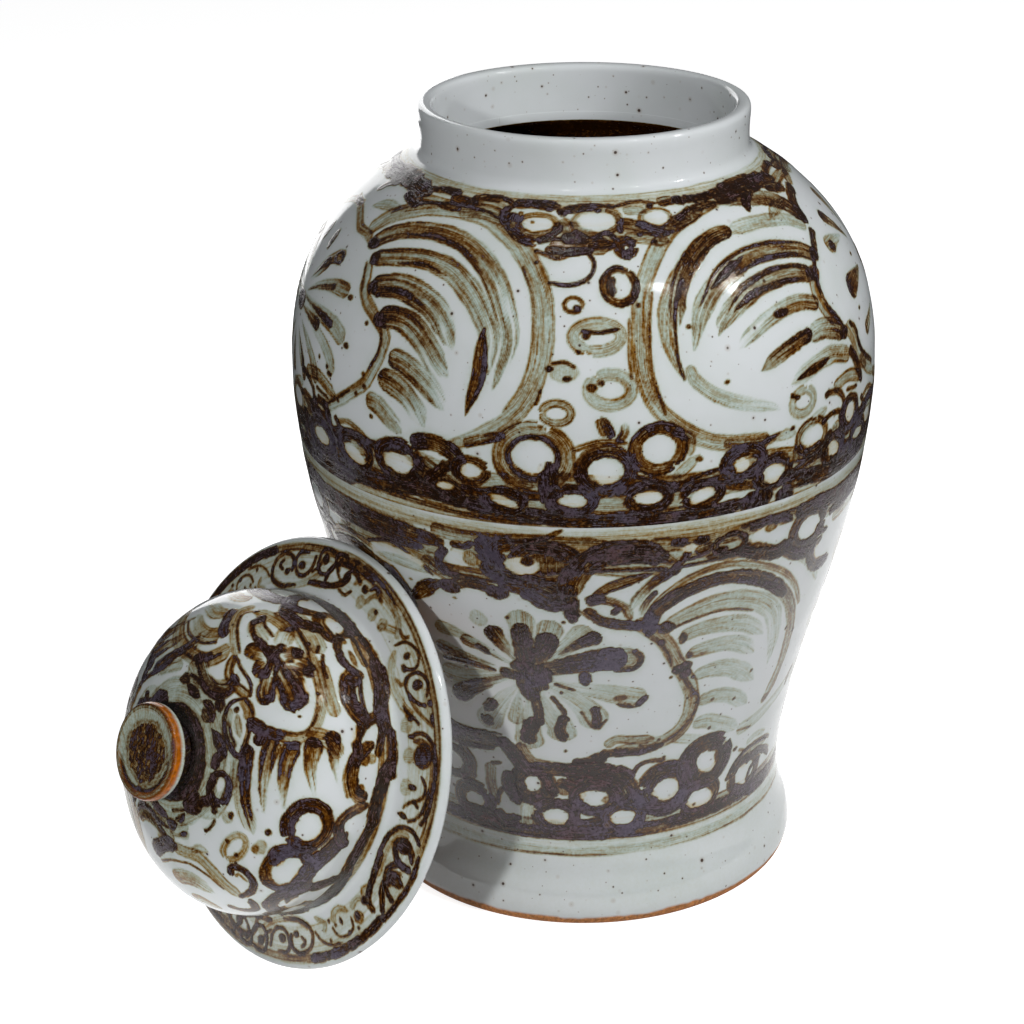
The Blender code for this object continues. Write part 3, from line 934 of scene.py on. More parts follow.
lower_fan = """
arc .42 4 13,190 14,198 17,206 21,212.5 27,216 33,214 40,207 46,198 51,186 55,172
arc .95 8.5 13.4,182 14,192 16.5,199 21,205 27,208.5 33,206.5 38,201.5 43,194 47,185
arc .40 8 42,196 47,185.5 51,174.5 54,162 56,148 56.5,132 55,119 53,112
arc .20 5 38,203 45,192 50,180 54,167
dab .5 1.4 2.5 53.5,113
dab 1.2 1.7 7 13.6,187
comb .24 10.5 17,184 21,189.5 26,193.5 31,193.5 36,190 41,184 45,175 47.5,163 49,150 49.5,138
arc .6 1.8 18,182 22,185.5 28,188.2 33,186.5 38,182
dab .95 1.9 3.8 17.2,183.5
comb .24 9.5 20.5,176 25,179 30,179 36,175.5 41,168 43.8,162.5
dab .8 1 3.8 21.3,175
comb .24 9.5 23,164 28,165.5 33,165 38,160 42.3,151.5
dab .6 .8 2.4 23.5,163
comb .22 10 25.5,148 30,149.5 35,147.5 40,141 45.3,131.5
comb .24 9 28,129.5 33,130.5 38,127 42,121 45.3,116
comb .22 9 28,114.5 32,114.5 37,109.5 44.2,101
comb .17 6.5 23,108 27,105.5 33,101.5
dab .85 .5 1 43.4,139 32.5,128.3 39.7,123.6 33.5,108.8 53,157.7 57.3,152.6 25.5,147.5
"""
foot_chain = """
arc .30 9 -64,57 -40,58 -20,56 10,57 40,57 66,58
arc 1.0 7.5 -66,52.5 -46,53.5 -30,52.5 -10,52 12,52.5
arc 1.0 7.5 8,52.5 20,52.8 30,54 50,54 70,53.5
arc .5 1.5 -60,49.2 -20,48.7 5,49 30,48.9 66,48.8
ring .95 6 5 9 -37.5,86
arc .95 7 -34,98 -31.3,90 -31.8,80 -34,75
ring 1.0 8 4.8 8.2 -31.5,64.5
bare 3 4.6 -31.5,64
arc 1.0 10 -36,56 -29,56 -24,53
arc .45 6.5 -25,91 -25.6,78 -24.5,66
arc .7 2.5 -25,91 -22,92.6
arc 1.0 7 -24.4,62 -22,56 -18.4,59
arc .9 3 -24,66 -22.6,75 -20,76 -18.7,68
bare 2.3 7 -21,67.3
ring 1.08 9 4.4 9.3 -13.6,81.5
arc 1.1 7.5 -19.3,88 -20.6,79 -18,69
arc 1.1 5.5 -10.5,90 -9,83 -7.6,76
dab .4 1.4 3 -16.5,80
bare 2.1 4.2 -13.5,82
arc .17 8 -15.6,54 -15.5,64 -14.3,72
ring 1.0 6.5 5.2 7.8 -7.6,62.5
bare 3.6 4.7 -7.5,62
dab .14 2.5 1.6 -8,57.8
dab .5 2.5 4 -4.8,80
arc .95 4 -8,71 -3,71.5 1,69
arc 1.15 14 -4.5,88 1,91 6,89 10,84 12.2,75 12.2,69
arc .9 7 -7,85 -2,80 -1,74
ring 1.0 6 5.4 8 3,74
arc .9 6 -5,58 1,58 6,61
bare 4 4.3 -12 3,74.6
dab .45 1.7 2.2 6.6,73
ring .95 6 4.8 7.6 11,61
bare 3.3 4.1 11,61.2
dab .17 1.6 2.2 -2,68.6 1,65.6 -7.8,79 13.6,73.5 28.8,75.6 17,59.5
arc .62 3 13,88 14.3,93 17,95.4 21.3,94.5
arc .95 3.6 8.8,94.3 11,91 13.2,87.2
ring 1.08 11 6 12 23,75.5
arc .5 2.3 15,83 18,90 22,92.6 26.5,91.5
arc .9 5 15,66 22,64 28,65
bare 4 6.7 23,74.5
ring 1.15 12 6 12.5 34.4,87 35
arc 1.1 10 28.5,97 28.5,87 31,76
arc .2 4.5 37,100 41,92 42.8,84 41,74
bare 2.5 7.3 40 34.9,84.6
ring .98 6.5 5.5 8 34,64.5
bare 4.4 5 34.2,63
dab .9 .5 .9 32.3,60.3 21.2,96.5 22.4,92
ring .9 6.5 6.3 9.5 52,66
arc .85 3 43.5,67 46.5,77 52,82.3 60,81 64,78
arc .3 5 45,70 48.5,77 54,80 61,78
arc .95 5 49.5,71 56,75.5 63,71 66,66
bare 4 5.8 -50 51.3,65.5
arc .85 3 53.3,59.5 55,67 60,69
arc .3 2.2 50,54 61,55
arc .5 1.8 49.8,81.5 47,84.5
dab .85 .9 1.4 45.2,86.4
arc .15 4 50,86 54,88.5 59,86
"""
lower_rings = """
arc .13 9 44,99 52,101 62,108 72,118
arc .5 1.4 44,99.2 50,97
ring .35 4 5 8 76,188
dab .9 1.2 2 78,184
ring .9 4.5 4 7 79,168
ring .28 4 5.4 8.5 75,149
arc 1.0 3 73,148 76,151
ring .55 3.5 3.6 6 79,130
dab .4 2 3 72,131
ring .25 4.5 5 8 76,111
leaf .5 5 68,120 66,108
leaf .3 5 84,178 87,166
"""


def moved(by, about=None):
    """Place for a pattern further round the jar, or turned left for right about an angle."""
    if about is None:
        return lambda turn, up: (turn + by, up)
    return lambda turn, up: (2 * about - turn + by, up)


def line_round(wall, load, width, up, patchy=0.0, rust=0.3):
    """A line that the brush drew while the wheel turned."""
    turn = wall["turn"][None, :]
    wander = 0.6 * grain(turn / 30, up, 7) + 0.3 * grain(turn / 6, up, 8)
    half = width / 2 * (1 + 0.3 * grain(turn / 4, up, 9))
    inside = half - np.abs(wall["up"][:, None] - up - wander)
    cover = np.clip(inside / (0.8 + width * 0.15) + 0.5, 0, 1)
    cover = cover * (1 - patchy * np.clip(0.5 + grain(turn / 22, up, 11), 0, 1))
    everywhere = np.ix_(np.arange(len(wall["up"])), np.arange(len(wall["turn"])))
    streak = 0.25 * grain(wall["up"][:, None] / 0.8, turn / 25, 4)
    round_way = np.repeat(turn * 2.4, len(wall["up"]), 0)
    lay(wall, everywhere, cover, load * (1 + streak), np.full(cover.shape, rust),
        np.repeat(wall["up"][:, None], len(wall["turn"]), 1), round_way)


line_round(lower, 0.18, 8.0, 240.0, patchy=0.4, rust=0.7)
line_round(lower, 0.32, 1.6, 236.8, patchy=0.7, rust=0.9)
line_round(lower, 0.26, 1.2, 240.2, patchy=0.8, rust=0.9)
line_round(lower, 0.13, 4.2, 42.0, patchy=0.3, rust=0.1)
line_round(lower, 0.07, 7.0, 44.0, rust=0.1)
line_round(lower, 0.62, 1.3, 39.5, patchy=0.9, rust=0.9)
for half_way in (0, 180):
    paint(lower, lower_fan, moved(half_way))
    paint(lower, lower_fan, moved(half_way, -12.5))
    paint(lower, lower_rings, moved(half_way))
for third in (0, 120, 240):
    paint(lower, chain_under_seam, moved(third))
    paint(lower, foot_chain, moved(third))
for half_way in (0, 180):
    paint(lower, lower_flower, moved(half_way))
# a faint wash lies below the foot line, and the foot's edge is wiped clean of glaze and fires orange-brown
wiped_height = 5.8
edge = wiped_height + 1.0 * grain(lower["turn"] / 9, 0, 21) + 0.4 * grain(lower["turn"] / 2, 0, 22)
lower["ink"] += 0.03 * np.clip((46 - lower["up"]) / 8, 0, 1)[:, None]
lower["bare"] += np.clip((edge[None, :] - lower["up"][:, None]) / 1.2 + 0.5, 0, 1)

jar_glaze = glazed("celadon over iron painting", clay=(178, 118, 68))
biscuit_foot = foot_recess + floor_thickness
lower_back = inset(between(0.0, seam_height, 0.008)[0], wall_thickness)[::-1]
lower_back[0] = (lower_line[-1, 0] - wall_thickness, lower_line[-1, 1])
foot_radius = lower_line[0, 0] - wall_thickness
lower_back = np.vstack([lower_back[:1], lower_back[:1] - (0, corner_hold), lower_back[1:-1],
                        [(foot_radius, corner_hold), (foot_radius, 0.0)]])
to_jar = Matrix.Translation((jar_axis, 0.0, 0.0)) @ Matrix.Rotation(math.radians(front), 4, "Z")
melt(lower)
lower_skin = skin(lower, lower_line)
# the lower body's whole inside is washed dark brown, which is also painted shade in the hollow
for nth, first, last in sectors(jar_columns, 5, 0.36):
    piece = painted_piece(f"lower_wall_{nth}", lower, lower_line, lower_back, jar_glaze, first, last,
                          to_jar, lower_skin, bare_below=0.0005, wash_and_shade_below=1.0)
    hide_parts("lower_body")
    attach(piece, "jar")


# The floor of the jar: a disc of clay left by the wheel inside the foot ring, unglazed underneath and glazed
# inside, where it is washed dark brown, which is also painted shade.
floor_outline = [(0.0, foot_recess), (foot_radius - foot_ring + wall_thickness - foot_recess, foot_recess),
                 (foot_radius - foot_ring + wall_thickness, 0.0), (foot_radius, 0.0),
                 (foot_radius + 0.001, biscuit_foot * 0.6), (foot_radius - 0.003, biscuit_foot * 0.93),
                 (foot_radius - 0.010, biscuit_foot), (0.0, biscuit_foot)]
biscuit = glazed("unglazed foot", speckle=1.3)
crease = 40


def whole_piece(name, outline, columns, clay, place, body, nodes, bare_below=-1.0, wash_and_shade_above=1.0):
    """A whole turned piece in its place, closed and facing out."""
    mesh = turned(name, outline, columns, clay)
    for label in ("row", "column"):
        mesh.attributes.remove(mesh.attributes[label])
    high = np.array([v.co.z for v in mesh.vertices])
    # above that height the piece gets the same dark wash, which is also painted shade inside the jar
    in_wash_and_shade = high > wash_and_shade_above
    for label, value in (("bare", high < bare_below), ("ink", in_wash_and_shade * inner_wash_and_shade), ("rust", in_wash_and_shade)):
        mark(mesh, label, value)
    mesh.transform(place)
    mesh.shade_smooth()
    mesh.set_sharp_from_angle(angle=math.radians(crease))
    piece = place_in_scene(name, mesh)
    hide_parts(*nodes)
    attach(piece, body)
    return piece


whole_piece("jar_floor", floor_outline, 180, biscuit, to_jar, "jar", ["lower_body"],
            bare_below=biscuit_foot * 0.5, wash_and_shade_above=biscuit_foot * 0.5)


# The upper body: belly and shoulder, thrown apart in the same stoneware and luted on at the seam. A chain
# band runs round its foot and a smaller one under the neck; between them are round fans, flower panels
# and a column of rings, all painted in iron under the celadon.
upper_low = seam_height + joint_gap
upper_line, upper_up = between(upper_low, body_height, cell / 1000)
upper = painted_wall(upper_up, upper_line[:, 0], jar_columns)
chain_under_neck = """
arc .30 10 -36,396 -28,397.5 -20,394 -12,390 -4,391 10,391 24,392 32,396
ring .34 3.4 6 6.6 3.4,395.6
ring .42 3.4 5.2 5.4 -12,393.8
ring .34 3 4.4 5 19.7,396
arc .9 9 -70,401 -60,402 -50,400
arc 1.1 9 -80,400.5 -74,401.5 -69,402
arc .95 5 -65,400 -70,396 -72,391.5
arc .9 5 -58,397.5 -55,395 -50,393
arc .9 4.5 -51,402.5 -45,404.5 -39,404.5
arc .45 6 -52,397 -44,398 -36,396.5
arc .8 6 -41,402 -37,401.2 -32,400.5
arc .35 4 -33,400.5 -27,402.4 -21,400
arc .5 4 -18.4,390.4 -15,386.4 -12,385
arc .3 7 10,386.8 15,386 20,383.6
arc .45 7 9.4,395 14,392.6 20.6,387.6
arc .25 6 11,400.6 14,401 17,400
arc .30 6 -6,397 -4.6,394 -3.6,390
arc .4 4 6,401.6 9,400 9.6,394
arc .62 9 -8,383 -3,383 6,382.6
arc .30 5 30.6,398 35,398.4 40,398
arc .3 4 23,391 26,392.6 29,394
bare 3.9 4.2 -12,393.8
bare 4.9 5.8 3.4,395.6
bare 3.3 4.2 19.7,396
arc .95 4.5 -34,402.5 -30,405 -24,405.5
arc .9 3 -24,405.6 -21.4,404.4 -20,401.6
arc 1.05 6 -20.4,403.4 -14,404.4 -7.6,403.2
arc 1.1 5 -21.2,402 -21.8,397 -20,393
dab .95 2.2 3.2 -19.4,396
arc .5 2.6 -17.4,400 -17,396.4 -16.8,393.4
arc 1.0 2.2 -20.5,392.4 -17.4,386.4 -14.4,383.4 -11.6,382.6
arc 1.0 5.5 -7.4,400.4 -2,402.8 3,404
arc .9 3 2,404.6 6,404 9,403.4
dab 1.1 1 1.4 4,401.6
dab 1.05 1.1 2.2 -5.6,400
arc .9 2.4 9,403.6 13,405.4 17,405.4 21,403.8
dab 1.05 1.1 1.4 19,402.6
arc .55 6 21.6,403.4 24.4,404.4 27,404.6
dab 1.22 2.3 3.1 28.6,403.8
arc 1.0 5.5 30,404 36,403 45,404.5
arc .95 7.5 44,404 52,406 61,405
arc .6 6 59,404.5 67,404
arc .85 2.6 24.6,393.8 27.6,396 30.2,399.4
arc 1.1 4 -11.4,384.4 -8.4,387 -5.8,392.6
arc .85 6 -5.4,387.4 -2,386.6 .6,385.6
arc .95 4.5 -9,381 -5,379.6 .8,380.4
arc 1.05 2.6 -2.6,391 -.4,388.6 1.6,386.4 3.4,387.6 5.4,390 8.2,385.4
arc .45 5 1,382.6 5,383.4 7.4,384.6
arc .85 2.4 -11.5,380 -6,376 -3,378 2,380
arc .85 3.4 9.2,393.4 9.5,390
arc .95 3 13.6,393.4 16.6,390.8 21.2,387
dab 1.1 .7 1 14,388 22.4,388.2 17.2,383.6
dab .7 .5 .8 -13.4,394.6
arc .3 4 30,398 38,399 46,397.5
arc .85 3 45,400 52,401 60,399.5
leaf .25 7 -67,383 -62,387 -54,389
leaf .35 6 60,399 66,397 72,393.5
"""
left_fan = """
arc .33 9.5 -60,372 -56,383 -50,390 -42,394.5 -34,395.5 -26,394 -20,389 -15,381 -11,370 \
-8.5,358 -7.5,345 -7.5,330 -9,315 -12,302 -17,291 -24,283
arc .55 1.6 -57,385 -50,393.5 -42,397.5 -34,398.5 -26,397 -19,391.5
arc .5 1.4 -13.5,371 -10.8,358 -9.8,345 -9.8,330 -11.3,315 -14.5,302
comb .56 9.6 -55.5,366 -52,374 -46,380 -38,382.5 -30,380.5 -24,374 -19,363 -15.5,348 -14,333 -16.5,312
comb .50 10 -52,360.5 -46,364.5 -38,367.5 -30,365 -24,356 -20,345 -17.8,333 -18.5,314
comb .70 12 -48.5,347 -45,350 -40,352 -34,349 -29,342 -25,328
comb .66 11.5 -43.5,335 -39,337 -35,335 -31,328 -28,320 -25.5,315
comb .60 11 -39,319 -35,317 -31,312 -28,306 -26,299
comb .58 11 -41,308 -37,306 -33,300 -30,289
comb .42 9.5 -44,295 -41,294 -38,289 -35,283
leaf .62 7 -19.2,340 -19.6,330 -19.4,318 -21.6,298
leaf .95 2.4 -19,338 -18.4,328 -18.8,314 -21.2,301
dab 1.12 1.8 3.4 -55,367.5
dab 1.12 1.4 3.4 -43.3,334
dab .95 1.5 3.5 -51.5,361 -48,347.5
leaf .9 2.2 -46,377.5 -38,380 -30,377.5 -24,371
leaf .85 2.2 -44,362.5 -37,364.8 -30,361.5
leaf .95 2.6 -45,348.5 -39,349.5 -33,345.5
"""
left_panel = """
arc .38 5 -80,381 -73,379 -68,375 -64,371 -59,370 -56.5,367
arc .36 6.6 -52.5,358 -51,352 -50.5,346 -48,340 -44.5,335 -41.5,330 -40.5,326 -41,318 \
-42.5,310 -44,303 -47,297 -51,290 -55,284 -59,279 -63,276 -67,277
arc .6 1.6 -53.5,358 -52,351 -50.8,344
arc .6 1.8 -44,334 -42,329 -41.6,320 -43.5,310
arc .75 1.6 -48.5,296 -53,288.5 -58,281
arc .28 7 -68,276 -60,274 -57,277
petal .27 10 -52,318 -57,323 -65,325 -74,326
petal .22 8 -56,299 -55.5,305 -59,312 -65,317 -72,319
petal .40 8 -61,290 -63,300 -67,308 -72,314
petal .55 5.5 -67.5,286 -69,297 -71.5,305
petal .5 7.5 -62,355 -66,352 -70,345 -74,335
petal .38 8 -54.5,341 -61,340 -67,336 -73,329
petal .85 4 -57,322.5 -64,324.8 -73,325.5
petal .8 3.4 -60,340 -67,335 -73,329
ring .85 2 1.8 3 -64,353
dab .9 .9 1.5 -51,316.5 -53.5,339 -55.7,299
dab 1.1 1.2 6 -72.5,358
dab .8 .5 1.2 -46.7,295.5 -44.5,300.5 -46.3,330.5 -45,306.5 -52.4,288 -42.5,287 -56.7,302 -60,304.5
petal .5 7 -85,350 -82,342 -79,334
petal .85 6 -90,318 -84,320 -78,321
petal .45 8 -84,292 -81,301 -78,309
petal .4 7 -76,284 -76,295 -76,306
dab .95 2.6 5 -75.5,322
"""
ring_column = """
ring 1.1 5 1.9 3.7 10,381.4
dab 1.15 1.2 2.8 10,377.4
arc .95 2.2 0,381.5 2.4,374 1,366 -3,362.5 -7.3,363.5
ring .85 4 3.4 8.5 7.5,362
arc 1.1 4 6,367 5.8,358
ring .7 2 1.9 3.6 -2,353
dab 1.1 .8 1.4 -1.3,351.5
ring .25 6 4.6 6.6 2.5,338
arc .9 2 -.4,341 3,340 6.8,341.4
dab .9 .8 2 .5,338.8
dab .20 2.8 4.6 -3.5,321.5
dab 1.1 .8 1.3 -3,318.7 -6.3,323
arc .7 1.6 -6,325.5 -3.5,326.5 -1.5,324
ring .27 6.5 3.9 7.2 4.8,313.5
dab .6 1 2 1.5,314.5
dab 1.1 .6 1.2 3.2,316.5
ring .5 4 2.6 4.8 -4.8,302.5
arc .8 1.6 -8.6,306 -7.7,313
comb 1.05 4 5,290.5 4.5,295 3,301
comb .9 4 6,288.5 7.2,292.5 7.4,298
arc .5 3 2.6,300 3.6,292
dab .8 .5 1 -10.5,373.5 11,352 -1,331
"""
right_fan = """
arc .33 8.5 36,279 30,281 23,285 17,294 13,305 11,318 \
10.5,330 11,345 12,358 14.5,370 18,381 23,390 30,395.5 38,398.5
arc .5 1.5 14.8,300 12.9,318 12.5,330 13,345 14.2,358
arc .5 1.5 8.8,318 8.4,330 8.9,346
comb .78 10 66,376 63,387 57,394 49,398 39,399
arc .3 5 26,282.5 32,279.5 37,279
leaf .9 3 33.5,278 38.8,281.6
comb .26 6.5 19.5,322 21,314 25,306 30,300.5 36,296 38.5,293
arc .24 8 64.5,372 58,380 50,383.5 44,384 39,383.3
leaf .30 9 38,383 30,380.5 22,367 17.2,352 15.8,338 16.8,326 18.6,315
comb .72 8.5 38.6,383.4 33.5,382.6 28.4,378 23.6,369.6 20.4,360 18.8,350 18,338
arc .9 1.7 21.4,364 19.2,354 17.9,342 17.6,328 18.6,316
comb .58 9.5 60,357 56,363 50,367 44,368.5 38,367 32,362 27,355 23.5,345 21,329
leaf .95 2.4 56,360.5 50,364 42,364.8 34,360.5
leaf .85 2.4 57.5,366 50,370.6 43,372.6 36,371 29,363.6 23.4,348
comb .62 10 55,350 50,354 44,355 38,353 33,348 28,340 26.6,334
leaf .95 2.6 52,350 44,352 36,348.5
leaf .8 2.2 53,355.5 47,358.6 41,357.8 34,352.6 28.6,342
leaf 1.2 4 38,369 33,364.6 27,356
leaf 1.1 3.6 42,352.6 36,349.6 31,344
comb .42 8 53.5,336 48,340 43,339.5 38,336.5 33,331 30,326
dab .95 2 2.2 42,338
comb .72 10 60,316 57,321 52,324 47.5,322
comb .8 7 49,324.5 43,321.5 38,317.5 34.6,313.5
comb .30 9 61,305 55,309.5 51,309.5 46,307 41.5,303.5
leaf .85 5 53.5,309 49,307.5 43,304.7
ring .26 5.5 3 6 44.5,293
arc .85 2.4 41,298.5 43.4,295.6
leaf .2 6 37,278 40,279.5 43,278
dab 1.1 1.6 3.6 59.6,358 54.7,350.5 60,317 65.6,376
dab .85 .6 1 41.7,281.5 20.5,340 27,312
"""
right_panel = """
arc 1.05 6.5 76,392 70,388 67,382 66,374
arc .95 4.5 66,369 64,366 60,358
arc .95 3 60,360 56.5,350 55.5,342 56,334 58,327 60,321
arc .95 3 63,320 65.5,315 66,308 67,303 70,297 75,290
arc .42 7 57.6,353 54.4,345 54,338 55.4,330 58.4,323.4
arc .36 9 61.6,320 64,311 65.6,302 69,294
arc .9 5.5 61,308 63,302 66.5,288
arc .25 6 66,300 70,291 76,284
petal .3 9 66.5,357 72,357.5 78,356
dab .75 1.6 3 69.5,356
petal .75 12 67,332.5 72,335 79,337
petal .5 7 71.5,308.5 76,312 81,316
petal .8 8 75,372 79,362 83,351
petal .45 8 88,380 88,366 88,352
petal .7 8 101,374 97,363 93,352
petal .3 8 82,292 84,303 87,312
petal .9 7 94,288 93,300 92,311
dab 1.0 3 9 89,334
petal .6 9 112,352 105,347 98,342
petal .35 9 113,330 106,330 99,331
petal .8 8 108,306 103,312 97,318
arc .4 5 76,284 84,277 94,275 104,278 112,284
arc .4 5 76,392 84,396 94,396 104,392
dab .85 .6 1 70,322 78,345 101,295
"""
chain_over_seam = """
arc .32 12 -66,262 -52,256 -40,262 -28,256 -14,258 0,256
arc .32 12 0,256 16,257 30,262 44,258 58,264 70,258
arc .30 10 -66,271 -50,268 -36,273 -20,266 -6,271
arc .38 9 -6,270 8,267 22,266 36,270 50,265 70,271
arc .6 5 -60,259 -50,262 -40,258 -30,263 -18,260 -4,262
arc .6 5 0,262 12,265 24,262 38,256 50,262 64,258
arc .8 4 -54,272 -48,275 -41,273 -33,275
arc 1.05 8 -68,272 -66,264 -63,259
arc 1.05 8.5 -66,255.5 -50,256.5 -45,253.5 -30,256.5 -20,254
arc 1.05 8 -22,254 -10,251 0,248.5 20,247.5 32,249.5
arc .55 3 -66,250 -40,250 -30,249 -20,247.3 -8,246.5
arc .5 2.4 -6,254.5 6,252.5 18,253
arc 1.0 7 -64,277 -57,274 -53,266
ring 1.0 5.5 5 7.5 -59.5,264
ring .95 5.5 4.6 7.6 -47.8,266
ring 1.05 6 4.9 8.6 -36,269
arc .5 3 -53,277 -49,279.5 -45,276.5 -42,271
arc 1.1 8.5 -33,280 -28,282 -23.5,277 -23,268
arc .5 12 -32,271 -28,265 -24,259
arc .95 6 -30,262 -27,268 -25,273
ring .9 5 3 5.4 -20.7,271
ring .9 5 3.6 5.2 -14.5,257.5
arc .5 5 -22,284 -18,288 -14.5,290
ring .48 10 5.8 13 -9,281
ring .9 2.2 4.6 10.5 -9,280.5
arc 1.15 9.5 -6.5,279 -6.2,268 -6,257
ring 1.0 5.5 3.8 6 -2,259.5
ring 1.05 6.5 4.6 10 4,274.5
arc .55 3 -2,285 3,289 7.5,288
ring .9 5.5 3.8 6.5 11.8,260
ring .76 6.5 4.4 10.4 13.5,284
arc .3 4 16,292 19.5,288 19.5,280
leaf .22 6.5 16,268 18.5,273 21.3,279
dab .8 .7 1.3 21.2,276.7
arc .85 2.4 9,271.5 12,269 15,266 16.6,262
arc .85 2.4 16,264 20,267.3 25,270
arc .4 2 16,261.5 20,264.5 25,267
ring 1.0 5 3.8 6 22,258
ring 1.05 7 4 6.2 30.4,271
arc .5 4 24,264.5 27,263 30,263.5
arc 1.1 4.5 30,264 35,262.3 33.5,256.5
ring 1.0 5.5 3.9 7.6 37.3,261.5
arc .24 6.5 43,263 43.5,272 46.5,280 51,284.3
arc .85 3.4 44.6,265.5 48,268.2 52,265.8
ring .45 4.5 4.2 8 47.3,273.5
arc .95 3.8 51,290.3 52.5,292 56,289.6 58,284 57.6,275 58,269
arc .9 3.4 50,278 53.5,280.6 57.2,279
arc .2 5 54.6,275 55,268
ring .95 5 3.6 6.4 55,261.5
arc .42 7 54,293 60,295 66,290
arc .8 2.4 59,288.4 64,286.4
ring .95 5 3.5 7.4 60.8,275.5
arc .85 3.4 66.3,279.6 68,275 71.3,270
ring .95 5 4 5.6 66.3,260
dab 1.18 3.6 6 34,249
dab 1.12 2.6 5 41,247
arc .98 9.5 40,254 48,252 55,249.3 62,249.3 72,250.5
dab .5 1.6 2 47.5,253.5
bare 3.2 4.6 -59.5,264
bare 3 4 -15 -47.8,264
bare 3.3 4.9 -36,267.3
bare 1.8 2 -26,261
bare 2 3.6 -20.7,271
bare 2.7 2.6 -20 -14.5,257.3
bare 3 7 -9.3,279.7
bare 2.6 3.1 -2,259
bare 2.4 4.9 4,273
bare 2 4.6 13.3,285
bare 2.7 3.6 11.8,259.7
bare 2.7 3.4 25 22,257.7
bare 1.7 3.6 30,269.7
bare 2.4 4.9 37.3,261.2
bare 2.7 5.1 47.2,273.6
bare 2.2 3.9 -20 55,261.2
bare 2 4.6 60.8,275.2
bare 2.7 2.9 66.3,259.7
"""
# the pattern was drawn for a shoulder a little longer than this one
drawn_root, neck_foot = 411.3, float(upper_up[-1] * 1000)
shoulder_from = 389.8


def on_shoulder(place):
    """Place that lets the drawing reach the root of the neck."""
    reach = (neck_foot - shoulder_from) / (drawn_root - shoulder_from)

    def settled(turn, up):
        turn, up = place(turn, up)
        return turn, up if up < shoulder_from else shoulder_from + (up - shoulder_from) * reach

    return settled


def to_back(turn, up):
    """The fans and rings stand again on the far side, a little wider."""
    return 181.5 + (turn - 6.5) * 1.12, up


line_round(upper, 0.20, 9.0, 247.0, patchy=0.4, rust=0.7)
line_round(upper, 0.26, 4.0, 241.0, patchy=0.7, rust=0.8)
line_round(upper, 0.35, 1.6, 244.8, patchy=0.6, rust=0.9)
line_round(upper, 0.15, 8.0, neck_foot - 7.0, rust=0.5)
for load, below in ((0.42, 1.6), (0.30, 3.4), (0.50, 5.6), (0.22, 8.6)):
    line_round(upper, load, 0.9, neck_foot - below, patchy=0.6, rust=0.9)
for panel, by, about in ((left_panel, 0, None), (left_panel, 0, -76), (right_panel, 0, None)):
    paint(upper, panel, on_shoulder(moved(by, about)))
for side in (as_drawn, to_back):
    paint(upper, left_fan, on_shoulder(side))
    paint(upper, right_fan, on_shoulder(side))
    paint(upper, ring_column, on_shoulder(side))
for third in (120, 240, 0):
    paint(upper, chain_under_neck, on_shoulder(moved(third)))
    paint(upper, chain_over_seam, moved(third))
upper_back = inset(between(upper_low, body_height - 0.004, 0.007)[0], wall_thickness)
upper_back = np.array([p for p in upper_back if p[0] > mouth_radius + 0.003])[::-1]
upper_back[-1] = (upper_line[0, 0] - wall_thickness, upper_low)
edge_of_mouth = body_height - 0.0045
upper_back = np.vstack([[(mouth_radius + corner_hold, body_height), (mouth_radius, body_height),
                         (mouth_radius, body_height - corner_hold), (mouth_radius, edge_of_mouth),
                         (mouth_radius + 0.0003, edge_of_mouth - 0.0006)], upper_back])
upper_glaze = glazed("celadon over iron painting, upper body", skins_from=1.34)
melt(upper)
upper_skin = skin(upper, upper_line)
# the upper body's inside below the mouth's edge is washed dark brown, which is also painted shade
for nth, first, last in sectors(jar_columns, 4, 0.40):
    piece = painted_piece(f"upper_wall_{nth}", upper, upper_line, upper_back, upper_glaze, first, last,
                          to_jar, upper_skin, wash_and_shade_below=edge_of_mouth)
    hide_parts("upper_body")
    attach(piece, "jar")


# The neck: a short upright collar of the same stoneware, luted on the shoulder, with a soft swollen lip
# that the lid rests on. It isn't painted, only glazed.
collar_low = body_height - 0.0001
collar = [(neck_root, collar_low), (neck_root - 0.0008, collar_low + 0.0004),
          (neck_root - 0.0020, collar_low + 0.0014), (neck_root - 0.0029, collar_low + 0.0030),
          (neck_radius + 0.0011, collar_low + 0.0052),
          (neck_radius + 0.0009, collar_low + 0.0100), (neck_radius + 0.0010, jar_top - 0.0100),
          (neck_radius + 0.0013, jar_top - 0.0060), (neck_radius + 0.0013, jar_top - 0.0030),
          (neck_radius + 0.0008, jar_top - 0.0013), (neck_radius - 0.0004, jar_top - 0.0003),
          (neck_radius - 0.0020, jar_top - 0.0001), (mouth_radius + 0.0030, jar_top - 0.0002),
          (mouth_radius + 0.0012, jar_top - 0.0008), (mouth_radius + 0.0002, jar_top - 0.0024),
          (mouth_radius, jar_top - 0.0050), (mouth_radius, jar_top - 0.012), (mouth_radius, collar_low)]
neck_outline = np.vstack([smooth_line(collar, step=0.0009), [(mouth_radius + 0.003, collar_low)]])
neck_glaze = glazed("plain celadon", speckle=1.25)
whole_piece("neck", neck_outline, 360, neck_glaze, to_jar, "jar", ["neck_collar"])


# The lid: a flat brim and a hollow dome of stoneware thrown in one, off the jar and leaning on its side.
# Scrolls run round the brim, a chain band round the dome's foot, and flower panels, combs and rings over
# the dome, in iron under the celadon.
lid_lean = math.radians(20)
lid_rest = (-0.115788, 0.0155, 0.101667)
brim_radius = 0.108
brim_half = 0.004
dome_radius = 0.0804
dome_height = 0.080
lid_wall = 0.0065
tenon_radius = 0.0710
stem_foot = 0.0140
to_lid = Matrix.Translation(lid_rest) @ Matrix.Rotation(lid_lean - math.pi / 2, 4, "Y")
